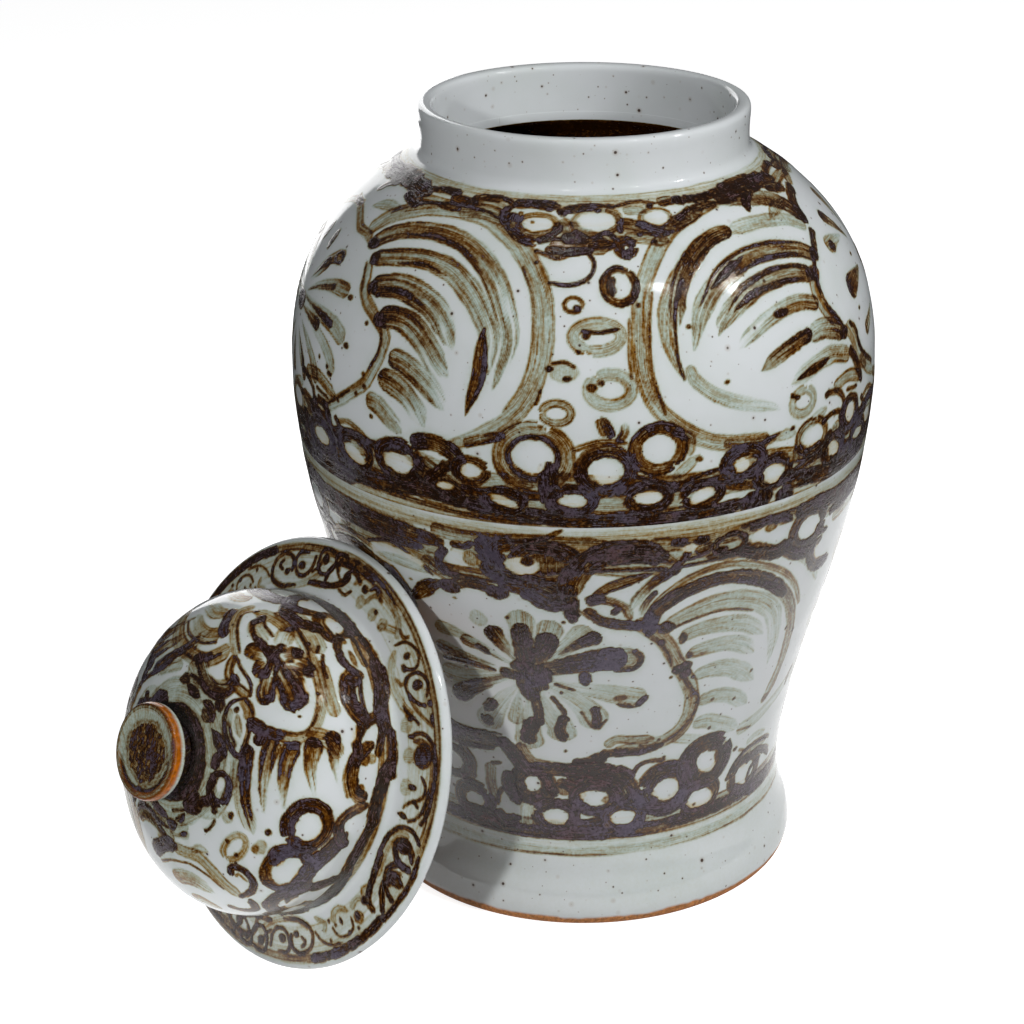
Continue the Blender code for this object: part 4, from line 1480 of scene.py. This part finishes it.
# share of the dome's height, share of the dome's radius
dome_shares = [(.200, .992), (.325, 1), (.450, .995), (.570, .960), (.680, .898), (.770, .818), (.850, .706),
               (.920, .562), (.968, .400), (.994, .255)]
brim_line = [(brim_radius, 0.0), (brim_radius - 0.0004, 0.0018), (brim_radius - 0.0014, 0.0032),
             (brim_radius - brim_half, 0.0041), (0.0960, 0.0053), (0.0884, 0.0065), (0.0838, 0.0074),
             (0.0812, 0.0084), (0.0799, 0.0104), (0.0796, 0.0130)]
dome_line = [(r * dome_radius, z * dome_height) for z, r in dome_shares] + [(stem_foot * 1.1, dome_height)]
lid_line = smooth_line(brim_line + dome_line, step=cell / 1000)
lid_up = length_along(lid_line)
lid_columns = 870
cover = painted_wall(lid_up, lid_line[:, 0], lid_columns, brown=0.35)
brim_rows = int(np.argmax(lid_line[:, 0] < 0.0800))
dome_foot = float(np.interp(0.0079, lid_line[:, 1], lid_up)) * 1000


def on_brim(place=as_drawn):
    """Place for strokes given as degrees round and distance from the middle in mm."""

    def settled(turn, out):
        turn, out = place(turn, out)
        return turn, float(np.interp(-out / 1000, -lid_line[:brim_rows, 0], lid_up[:brim_rows])) * 1000

    return settled


def on_dome(place=as_drawn):
    """Place for strokes given as degrees round and mm up the dome from the brim."""

    def settled(turn, up):
        turn, up = place(turn, up)
        return turn, dome_foot + up

    return settled


brim_scrolls = """
arc .12 9 -200,100.5 -160,101 -120,101.6 -80,101.6 -40,101.6 -10,102
arc .09 10 -180,90 -150,91.5 -120,90 -90,91.5 -60,90.5 -30,92 -5,91
arc .22 1.6 -148,104.8 -120,105 -90,104.9 -60,104.6 -30,104.9 -2,105
arc .45 4 -196,101.5 -185,101.3 -170,102 -155,102.5 -148,103
arc 1.0 5 -152,103 -140,103.4 -130,103.6 -120,103.4
arc 1.0 3 -121,104.3 -112,105 -104,105.2 -99,104
arc .22 4 -98,103.5 -80,103.8 -60,103.6 -40,103.8 -20,104 0,104.2
arc .5 1 -96,101.3 -80,102.6 -60,102 -40,102.8 -20,103.3 -4,103.6
arc .36 1 -96,104.6 -70,104.9 -40,105.1 -10,105.4
arc .84 3 -192,95 -187,98.6 -181,98.6 -177,94 -176.4,87
dab .95 1.6 3 -185,94
arc .9 1.6 -184,90 -181,93 -179,97
arc .85 2 -173,98.5 -172,94 -169,90
arc .84 2.3 -169.5,99 -168.5,92 -165.5,87.8 -161.8,89 -160.4,95 -162,99.4 -166,99.6
dab 1.0 1.7 2.2 -163.7,93
arc .84 2.4 -159,90 -159.6,96 -156.5,99.8 -152,98.4 -149.4,93 -150,87.6 -155,83.4 -162,83
arc .22 4 -150,88 -154,83.5 -161,82.6 -168,85 -173,90
dab 1.0 1.4 1.8 -156.8,90.4
arc .9 1.8 -155.5,97 -153,94.6 -154.8,91.6
arc .7 1.6 -148,90 -146,95 -143,98.5 -138,100.2
arc .25 3 -144,92 -142,88 -146,84
arc .6 1.6 -139.6,91 -138.6,96 -135,98.4 -131.5,96.8 -130.6,92
arc .25 3.4 -138,90 -137.5,86 -134,84.5 -131,88
dab .9 .6 1 -138,91 -140.2,88 -129.6,98.6 -133.6,97.6 -142,97
leaf .85 2.4 -135,88.6 -135,92.8
dab .45 2.1 3.3 -127.6,94.5
dab .85 .9 2.2 -127.8,93.5
arc .24 3.4 -129,89 -125,87 -122,90
arc 1.05 3.8 -121.5,98.6 -121.5,93 -118,88.6 -113,86 -105.5,84
dab 1.1 1.6 2 -122.3,90.5
arc .3 2.4 -122,88 -120,85.4 -117.6,88
arc 1.0 3.6 -119.5,102 -116,96 -112.5,92.4
arc .95 3 -114.5,103 -113.6,96.5 -111,92.2 -107.8,91 -104.5,95 -104,102.6
dab 1.0 1.9 5.6 -109,97.4
arc .85 2 -112,97 -110.4,94 -107.6,94.4 -106.4,99
arc 1.05 3.6 -103.6,103 -104,95 -102,90.6 -99.2,89.4 -97.3,93 -98,98 -101.4,101.6
dab 1.05 1.8 3.6 -99.3,94.4
arc 1.0 2.4 -96,102.6 -93.4,96 -94,88.6 -98,84 -104,82.8 -111,84.4
arc .24 4 -95.2,95 -96.5,88 -101,85.5 -107,86 -112,88
arc .95 1.8 -91.5,91 -89.4,96 -85,99.3 -80.5,100
arc .9 2.3 -91,99 -86,101.8 -78,102.8 -71,102.3 -67,99.4 -64.8,94 -65.4,87
arc .42 3.6 -88,100 -80,101.4 -72,100.4 -67.8,96 -67,90
arc .75 2 -85.4,91.5 -83.4,96.8 -80.4,98.2 -77.4,95
arc .9 1.8 -86.6,95.5 -85,92.5 -86,89.5 -88,87
dab .95 .9 2.6 -81,90.4
dab .20 2.8 3.6 -81.4,86.6 -71.4,86.8 -61.6,86
leaf .85 3 -90.6,91 -90.2,85
ring .5 1.6 3.3 5 -71.5,95
dab 1.05 2.8 4.4 -71.5,95
dab .9 .7 1.6 -65.6,88.6 -60.2,88.6
arc .5 2 -63.5,101.5 -61,97 -57,92 -53,89.6
dab 1.0 1.3 1.3 -61.3,101.3
dab .95 1.1 1.3 -57,101
arc .95 1.9 -57.5,99 -56,94 -53,90.4 -50,89.2 -47.2,92.4 -48,99 -51.5,102 -55,100.2
dab 1.0 1.6 3 -50.9,96
dab 1.0 1.1 1.1 -53.6,90.4
arc .85 1.8 -62.4,93.6 -60,90.4 -57.6,87 -55.6,85.6
arc .20 4.5 -59.5,90 -55,85 -48,82.6 -41.5,84.4 -38,89
arc .9 1.8 -44.6,91 -46.2,97 -44.2,101 -41.2,101 -37.4,97 -36.2,91
arc .4 2 -47,92 -49,87 -46,85
dab 1.05 1.5 1.5 -44.3,91
dab 1.0 1.1 2.2 -41.4,94.8
arc .5 2 -37,100.6 -36,97 -33,97
arc .3 4.4 -35,93 -31,98.4 -24,100.8 -16,101.2 -11.5,100.4 -9.4,94
arc .9 1.2 -26.5,102 -20,102.9 -12,103.4
arc .85 2 -19.5,97.5 -17.6,99.4 -15.8,96
arc .35 2.8 -21,98 -18,95 -17,90
arc .24 4 -33,95 -29,91 -27,88
dab .22 2 3.6 -27.5,90 -15,88.5 -22,89
dab .95 .9 1.2 -22.6,91.2
dab .7 1.1 1 -21.4,97.2
dab 1.0 1.6 2.1 -14,94.8
dab 1.0 1.1 1.2 -6.8,103
arc .9 1.6 -6.6,101.6 -6,98 -4.2,95.4
arc 1.05 3.6 -6.3,95.4 -4.6,91.2 -.6,87 5,85.2 11,85
arc .85 1.8 -9.3,90 -7.4,86 -3.6,86.8
arc 1.0 2 -3.8,98.4 -2.8,102 -.2,103.2 1.8,101.4 1.6,96.5 3,92 6.4,90.2 8.8,93.6 8.4,101 5.6,103.2 2.6,101.4
dab 1.05 1.4 2.8 6,97.6
arc .5 2.2 -.8,101 .4,98 -1,95
"""
dome_chain = """
arc .5 9 -142,9 -120,9 -96,9 -72,9 -48,8 -24,8 0,8
arc 1.0 8 -121,9 -112,12.5 -103,12 -96,10
arc .95 9 -98,9 -90,11 -82,9.5 -74,6
arc .95 5 -80,4 -70,4 -62,5
arc .6 5 -72,14 -67,12 -62,9
arc 1.0 9 -64,8 -56,10 -47,6 -38,5
arc .95 5 -46,5 -36,4 -26,5
arc .55 5 -40,12 -33,13 -27,11
arc 1.0 8 -26,8 -16,7 -4,8
arc .9 9 -144,8 -134,9 -122,9
arc 1.1 7.5 -144,27 -138.5,36 -130.5,37 -124.5,28
arc 1.15 10 -127,27 -121,34 -113,34 -106,29.5 -100,26
arc 1.1 8 -125,26 -122,20 -119,15
bare 5.2 4.6 -133.8,25
bare 5.4 4 -112.3,20
arc 1.05 5.5 -104,21 -99.5,28.5 -94,30 -90,24 -88.6,17
bare 4.6 4.6 -97,19
arc .9 7 -86.5,18 -84,26 -77,29 -71,26 -68,18
arc .35 3 -86,29 -78.5,32.6 -71,29.5
dab .55 2 3 -83,23 -73,22
bare 4.2 3.4 -79.5,18
dab .35 1.8 3 -72.6,17.6
arc 1.0 5.6 -72,26 -66,27 -61,22 -57.6,11
bare 4.8 4.2 -62.8,31.2
arc .85 9.5 -60,20 -55.4,27 -50,28.6 -45,26 -43,18
dab .5 2.4 3 -55,24.5 -46,24
dab 1.1 1.6 2 -51.3,26
bare 4.8 2.6 -50.4,17
arc 1.1 2.6 -58,20 -51,21 -44,18.5
bare 5.6 4.8 -37.8,30
arc 1.12 5.4 -43.5,19 -37.5,25.6 -30.5,24 -26.4,18 -24.4,9
dab .5 3.4 2 -36.6,18.5
arc .85 8 -30,25 -24.5,26.6 -18,24.5 -15.6,13
dab .5 1.6 3 -29,20 -17,21
bare 4.4 4.6 -21.3,18.3
arc .95 7 -16,19 -12.6,29 -6.4,32.5 -2.5,24 1.4,11
bare 3.6 5.6 -8,21.6
"""
dome_panel = """
arc .33 6 -62,67 -65,58 -63,50 -57,45 -49,42 -38,41 -24,41.4 -10,42
arc .45 1.4 -62.5,62 -62.8,54 -60,48.5 -54,44.5
arc .6 1.8 -38,43 -30,41 -20,40 -11,40.4
arc .3 5 0,46 2.6,53 -1.6,61 -8,67 -15,71
arc .8 1.6 -4,47 .3,53 -3,60 -9.5,65.4 -16,69
arc .55 5 -40,76 -33,79 -27,80 -20,79 -14.6,73
arc .9 4 -30.5,78.6 -24,78.6
arc .85 1.8 -41,75.4 -34,72.6 -24,73.2 -16,71.6
arc 1.1 6.5 -67,76 -60,73.4 -53.4,78
arc 1.05 5 -58,75 -60.6,70 -63.4,64
arc .9 2.2 -53,76.6 -46,76 -40,78
arc .4 4 -52,80 -46,78.5 -40,80
comb .9 14 -53.6,54 -45,55.5 -35,57
arc 1.15 4 -52.4,50.6 -46,51.8 -39,54
arc .95 1.4 -54.6,56 -50,60.4 -43,61.2 -36,60.6
dab 1.1 2 3 -51.6,54.6
arc .45 1.8 -50,58.5 -44,59.5 -38,59.5
comb .85 8.8 -48,67.8 -42,67.4 -35.6,63
arc .95 1.3 -47.4,70.2 -42,71.2 -37.4,69 -34.6,66
arc .95 1.2 -47.8,65.4 -43,63.2 -38,61.6
dab 1.1 1.5 2.2 -45,67.6
comb 1.08 10 -29.6,69.5 -30.4,62
comb .92 8.5 -15.6,64.4 -20.4,63 -26.4,58.6
dab .45 1.8 1.6 -21.6,65.4
comb .40 8 -6.6,51.5 -12,55.6 -21,56.6
arc .85 2.4 -22.4,58.4 -13,58.4 -6.4,53.6
arc .85 1.4 -20,52 -12,51 -8.6,48
dab 1.1 1.9 3.6 -8.2,50.6
comb .32 9 -19.6,42 -21.6,46.8 -26,51.6
dab 1.05 1.2 3 -20,42.4
comb 1.0 8 -30.6,43.6 -31,47.6 -30,52.6
comb .85 9.5 -39.3,43 -37.4,46.4 -33.4,51.6
dab 1.08 1.6 2 -38.6,43
dab 1.12 4 3.6 -26.4,57
dab 1.1 2.4 2.6 -33.4,64 -26.4,52
arc 1.15 4 -40,54.6 -34,55.4 -29,57.4 -24,58 -16,59
arc 1.15 3.4 -35.4,65.6 -32,61.6 -28,58 -26.4,52.6
arc 1.1 2.4 -40,61 -35,59.4 -31,56
dab 1.1 2.4 2.4 -40,45 -31,46.6
bare 1.1 .8 -30.8,59.4
dab .5 1.2 1 -30.8,59.4
bare .9 1.3 -34.2,48.4
bare .9 1 -32.2,68.4 -20.6,65.8
dab .45 1 1.1 -32.2,68.4 -20.6,65.8
dab .45 1 2 -30.4,58 -33,52
bare 3 .7 -45,62
bare 1.2 1.6 -36,69.6
bare 2.4 1.2 -45.6,48.4
dab .85 .5 .8 -56.4,54.3 -49,43.6 -24,33.4 -19,31.4 -65.3,43.8 -28.5,39
arc .9 1.8 -44,37.4 -39,37.2 -34.5,35
arc .8 1.6 -33.6,37.6 -30.6,34.8
arc .26 7 -58,37 -48,38.5 -38,38
arc .30 10 -34,36 -26,35 -18,35 -10,38
arc .30 9 -72,36 -66,42 -64,50
arc .32 7 -20,44 -12,45 -4,48
dab .8 .5 .9 -24,33 -19,31.6 -29,39
"""
dome_combs = """
comb .26 8 -76,83.6 -86,82 -96,80 -104,75.4 -111,67.5
petal .84 7.2 -66,80.4 -76,81.4 -86,80.6 -96,78.4 -103.6,74 -110.8,67.6
arc .45 2 -74,79.6 -86,78.8 -97,76.4 -105,71.4
petal .66 8.6 -64,67 -73,70.6 -82,71.6 -90,70.4 -98.5,67.4
leaf .95 2 -64,69 -72,72.8 -81,73.6
leaf .95 2 -63.6,65 -70,67.6 -80,68.6
petal .62 8.6 -66.6,57.6 -73,61.2 -80,62 -86,61.4 -93.4,59.4
dab 1.12 1.8 3.4 -67.6,58
leaf .9 1.8 -67,61 -74,64 -82,64
petal .68 8.4 -65,47.6 -71,49.6 -77,50 -86,46.4
dab 1.0 1.8 2.8 -67,48
petal .62 7.4 -62.8,40.6 -68,39 -73.4,38.8 -80.6,36
dab 1.05 1.8 1.9 -65.6,37.4
arc .9 3 -88,82.4 -74,84 -62,81 -53,78.4
arc .22 6 -100,86.6 -90,87 -76,85.4
"""
dome_fan = """
arc .36 8 -9.6,71 -4,79 4,82.4 14,81.6 25,77.4 33,70 37,60 38,49
arc .85 1.7 -7,75 -2,80.6 6,83.4 15,82.6 24,79.6
arc .8 1.6 .5,72 9,74.6 18,73.4 26,68.6 31,60
arc 1.0 4 -2.6,78 3.6,81.6 10,82
comb .34 8.5 2,67.4 10,70.4 20,67 28,57.4
comb .34 8 8,56 15,56.6 25,49.4
comb .4 7 6,42 12,43.6 21,38
arc 1.0 6 -2,67.6 3,64 7.4,54
dab .55 1.4 3 4,60.4 5.4,55
dab .9 .6 1.2 14,77.4
"""
dome_bits = """
arc .28 7 -170,82 -160,80 -150,77 -146,70 -144,60 -143,50
arc 1.0 8 -190,70 -185,77 -175,82 -168,82
arc .7 1.5 -185,68 -175,73 -165,74 -158,73 -150,66 -147,57
comb .4 9 -177,62 -168,65 -160,63 -154,56
arc .35 7 -172,48 -167,50 -162,43
arc .45 7 -187,30 -182,30 -178,25
arc .5 8 -198,22 -192,22 -188,16
arc .8 4 -178,16 -173,16 -170,11 -174,5 -181,5
arc .9 4 -137.6,62 -133.4,65 -130,60.6 -131,53.6 -136,49.4 -143,49
arc .4 1.8 -136,60 -133.4,60.4 -133.4,55
arc .75 4.6 -154.6,45.4 -150.6,38.6 -145.6,37.4 -141.6,44.6
ring 1.08 6 9.5 9.4 -118.6,44.4
arc .5 2.6 -129,49.6 -127.6,41 -122.6,36.6
arc .95 7.4 -118,49 -113.6,53.4 -110,49 -107.8,41 -110.4,35
bare 5.6 5.6 -119,44.6
ring .98 7 8.4 9.4 -98.2,45.4
arc .5 2 -103.6,51 -98,53.6 -93,50
bare 5.2 5.6 -98.6,44
ring .32 3.6 8.6 4.6 -124,71
dab .8 1.2 1.2 -126.4,68 -124.4,75.6
dab .22 4 3.2 -115,61.6
dab .4 2.2 2 -117,63
dab 1.0 1.6 1.6 -106.4,61.6
dab .22 4 3 -113,82.4
dab 1.0 2.2 1.4 -110,81.4
arc .85 1.8 -134.6,86.6 -129,86 -121,86.8
dab .24 6 2.2 -155,88.4
dab .95 3.2 1.2 -155,89
leaf .95 4 -162,96.4 -154,96.6 -146,98.6
leaf .9 5 -197,97 -190,98.6 -183,99.6
arc .9 1.4 -166,100.6 -155,100.8 -144,100.4
leaf .22 5 -140,77 -146,80.4 -154,80
arc .2 6 -172,92 -162,90 -150,92
"""
# the wide dark ring at 111 mm round the knob's foot is partly pigment, partly painted shadow under the knob
dome_top = """
arc .13 13 -200,99 -160,99 -120,100 -80,99 -40,100 0,100 40,99 80,100 120,99 160,99
arc .16 12 -130,92 -105,91 -80,93 -50,95 -20,93 0,94
arc 1.05 5 -146,102 -134,102.6 -120,102
arc .9 2.4 -120,104 -100,105 -80,105.4
arc .9 2 -200,107 -160,106.2 -120,106.2 -80,106.4 -40,106.4 0,106.2 40,106.6 80,106.4 120,106.6 160,106.6
arc 1.2 7 -200,111 -160,111 -120,111 -80,111 -40,111 0,111 40,111 80,111 120,111 160,111
arc .95 5 -145,101.4 -132,97.6 -121,98 -112,94.6
ring 1.0 5 11 5.4 -100,93
bare 6 2.4 -95.6,93
arc .9 4 -118,88.6 -112,93 -106,97
arc 1.0 5 -86,97.6 -78,98.6 -70,93.6
leaf 1.0 6 -75,92.4 -62,97 -49,100
leaf .35 7 -73,88 -60,91.4 -46,91.8
arc .85 2.2 -74,83.4 -71,88.4 -62,92 -51,92.6 -42.4,90.6 -37.8,85 -39.4,79.4
arc .3 5 -68,88 -58,90.6 -49,90 -42.4,87
bare 10.4 4 -54.6,84.6
leaf .25 4.6 -62,84.6 -54,85 -46,84
dab 1.0 2 1.6 -44,83.8
leaf 1.02 5.5 -39.6,92.4 -33,91 -27,90
leaf .95 5 -44,98.4 -31,96.4 -18,98
leaf .5 5 -42,99.4 -32,101 -24,100
arc .26 9 -30,81 -24,88 -12,91 0,90 10,86
arc .42 7 -30,79.4 -27.6,86 -19.4,89.8 -9,88.6 0,85 7,80.6
arc .6 1.4 -31,82 -28,88 -19,92.4 -8,91.6 2,88
bare 7.4 2.2 -12,84.4
leaf .95 5 -14,97.4 -3,98 8,96
arc .8 2 -28,91.6 -16,93.6 -4,92 8,91
leaf .9 6 6,95 13,93.4 20,94
"""
for by in (240, 120, 0):
    paint(cover, dome_chain, on_dome(moved(by)))
for by in (120, 0):
    for pattern in (dome_combs, dome_fan, dome_panel):
        paint(cover, pattern, on_dome(moved(by)))
paint(cover, dome_bits, on_dome())
for by in (180, 0):
    paint(cover, dome_top, on_dome(moved(by)))
    paint(cover, brim_scrolls, on_brim(moved(by)))
cover_back = [(0.0, dome_height), (0.0, dome_height - lid_wall)]
hollow = inset(smooth_line(dome_line[:-1], step=0.006), lid_wall)[::-1]
cover_back += [tuple(p) for p in hollow if p[1] < dome_height - lid_wall]
cover_back += [(tenon_radius, 0.0), (tenon_radius - 0.0032, -brim_half), (0.086, -brim_half),
               (brim_radius - brim_half, -brim_half), (brim_radius - 0.0012, -0.0026)]
lid_glaze = glazed("celadon over iron painting, lid", speckle=0.6, skins_from=1.30, dull=(84, 56, 50))
# the pigment stays green near the knob
cover["rust"] *= 1 - 0.75 * np.clip((cover["up"] - dome_foot - 80) / 8, 0, 1)[:, None]
melt(cover)
lid_skin = skin(cover, lid_line)
for nth, first, last in sectors(lid_columns, 3, 0.12):
    piece = painted_piece(f"lid_cover_{nth}", cover, lid_line, np.array(cover_back), lid_glaze, first, last,
                          to_lid, lid_skin, bare_below=-0.0027)
    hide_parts("lid_cover")
    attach(piece, "lid")


# The tenon: a plain ring of clay under the brim that keeps the lid centred in the mouth. It is left
# unglazed, so that the lid doesn't stick in the kiln.
tenon_top = -brim_half - joint_gap
# radius, depth below the brim
tenon_shape = [(0.0650, 0.0), (0.0650, 0.0100), (0.0654, 0.0114), (0.0665, 0.0120),
               (0.0695, 0.0120), (0.0706, 0.0115), (tenon_radius, 0.0102), (tenon_radius, 0.0)]
tenon = [(r, tenon_top - depth) for r, depth in tenon_shape]
bare_clay = glazed("unglazed clay")
whole_piece("tenon", tenon, 180, bare_clay, to_lid, "lid", ["lid_tenon"], bare_below=0.0)


# The knob: a stoneware button turned on a short stem and luted on the dome. Its top carries a patch of
# thick pigment inside a ring of green glaze, and its edge, where the glaze ran thin, burned orange-brown.
knob_low = dome_height + joint_gap
knob_height = 0.017
knob_top = knob_low + knob_height
# radius, height above the dome
stem_and_edge = [(0.0, 0.0), (0.0138, 0.0), (0.0130, 0.0012), (0.0125, 0.0032), (0.0127, 0.0062),
                 (0.0140, 0.0080), (0.0175, 0.0084), (0.0212, 0.0088), (0.0231, 0.0102),
                 (0.0237, 0.0122), (0.0236, 0.0148), (0.0228, 0.0163)]
# radius, depth below the top
dished_top = [(0.0214, 0.0), (0.0200, 0.0004), (0.0180, 0.0011), (0.0120, 0.0013), (0.0060, 0.0013),
              (0.0, 0.0013)]
# in mm above the dome, then in mm from the middle
low_line_at, burned_at, face_from, top_line_at = 9.9, 14.3, 14.6, 16.4
patch_radius, crescent_radius = 13.7, 19.0
knob = [(r, knob_low + z) for r, z in stem_and_edge] + [(r, knob_top - z) for r, z in dished_top]
knob_line = smooth_line(knob, step=0.0004)
knob_line[0, 0] = knob_line[-1, 0] = 0.0
knob_up = length_along(knob_line)
knob_columns = 390
knob_wall = painted_wall(knob_up, np.maximum(knob_line[:, 0], 0.0008), knob_columns)
around = knob_wall["turn"][None, :]
out = knob_line[:, :1] * 1000
high = (knob_line[:, 1:] - knob_low) * 1000
face = (high > face_from) & (np.arange(len(out))[:, None] > len(out) * 0.5)
ragged = patch_radius + 1.5 * grain(around / 24, 0, 5) + 0.9 * grain(around / 7, out / 3, 6)
patch = np.where(face, np.clip((ragged - out) / 0.8 + 0.5, 0, 1), 0)
# the patch is mottled in streaks across the top
aside = np.radians(around)
mottle = 0.5 + 0.5 * grain(out * np.sin(aside) / 1.1, out * np.cos(aside) / 2.6, 12)
mottle = np.clip(mottle + 0.4 * grain(out * np.sin(aside) / 0.5, out * np.cos(aside) / 0.8, 13), 0, 1)
knob_wall["ink"] += patch * (0.50 + 0.85 * mottle)
# a brown halo has run out of the patch, and a crescent of pigment lies along one side of the face
seep = 0.28 * np.clip(1 - np.abs(out - ragged - 1.4) / 1.6, 0, 1) * face
knob_wall["ink"] += np.where(face, 0.30, 0.16) * (high > 7.5) * (1 - patch) + seep
crescent = np.clip(1.2 - np.abs(out - crescent_radius - 0.5 * grain(around / 15, 0, 15)) / 1.6, 0, 1)
crescent = crescent * np.clip(np.cos(np.radians(around + 165)) * 2.2 - 0.1, 0, 1) * face
knob_wall["ink"] += 0.85 * crescent
low_line = np.exp(-((high - low_line_at) / 0.4) ** 2) * (out > 20)
top_line = np.exp(-((high - top_line_at) / 0.5) ** 2) * (out > 20.5)
knob_wall["ink"] += 0.50 * low_line + 0.75 * top_line
# thick pigment round the stem, which is also painted shade under the knob's disc
knob_wall["ink"] += 1.1 * np.clip(1.6 - high / 3.2, 0, 1) * (out > 8) * ~face
burned = np.clip(1.4 - np.abs(high - burned_at - 0.6 * grain(around / 40, 0, 17)) / 1.9, 0, 1) * (out > 19.5)
knob_wall["bare"] += np.clip(burned * (1.1 + 0.3 * grain(around / 6, high / 2, 18)), 0, 1)
knob_wall["rust"] += np.where(patch > 0.4, 0.75 - 0.5 * mottle, 0.05) + 0.6 * low_line + 0.6 * top_line + seep
knob_wall["rust"] = np.clip(knob_wall["rust"], 0, 1)
knob_wall["across"] += np.radians(around) * out
knob_wall["along"] += out
knob_glaze = glazed("green glaze on the knob", speckle=0.4, clay=(152, 82, 10), dry=0.10, gloss=1.3)
knob_piece = painted_piece("knob", knob_wall, knob_line, np.zeros((0, 2)), knob_glaze, 0, knob_columns,
                           to_lid, skin(knob_wall, knob_line, taper=0.5))
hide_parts("lid_knob")
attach(knob_piece, "lid")
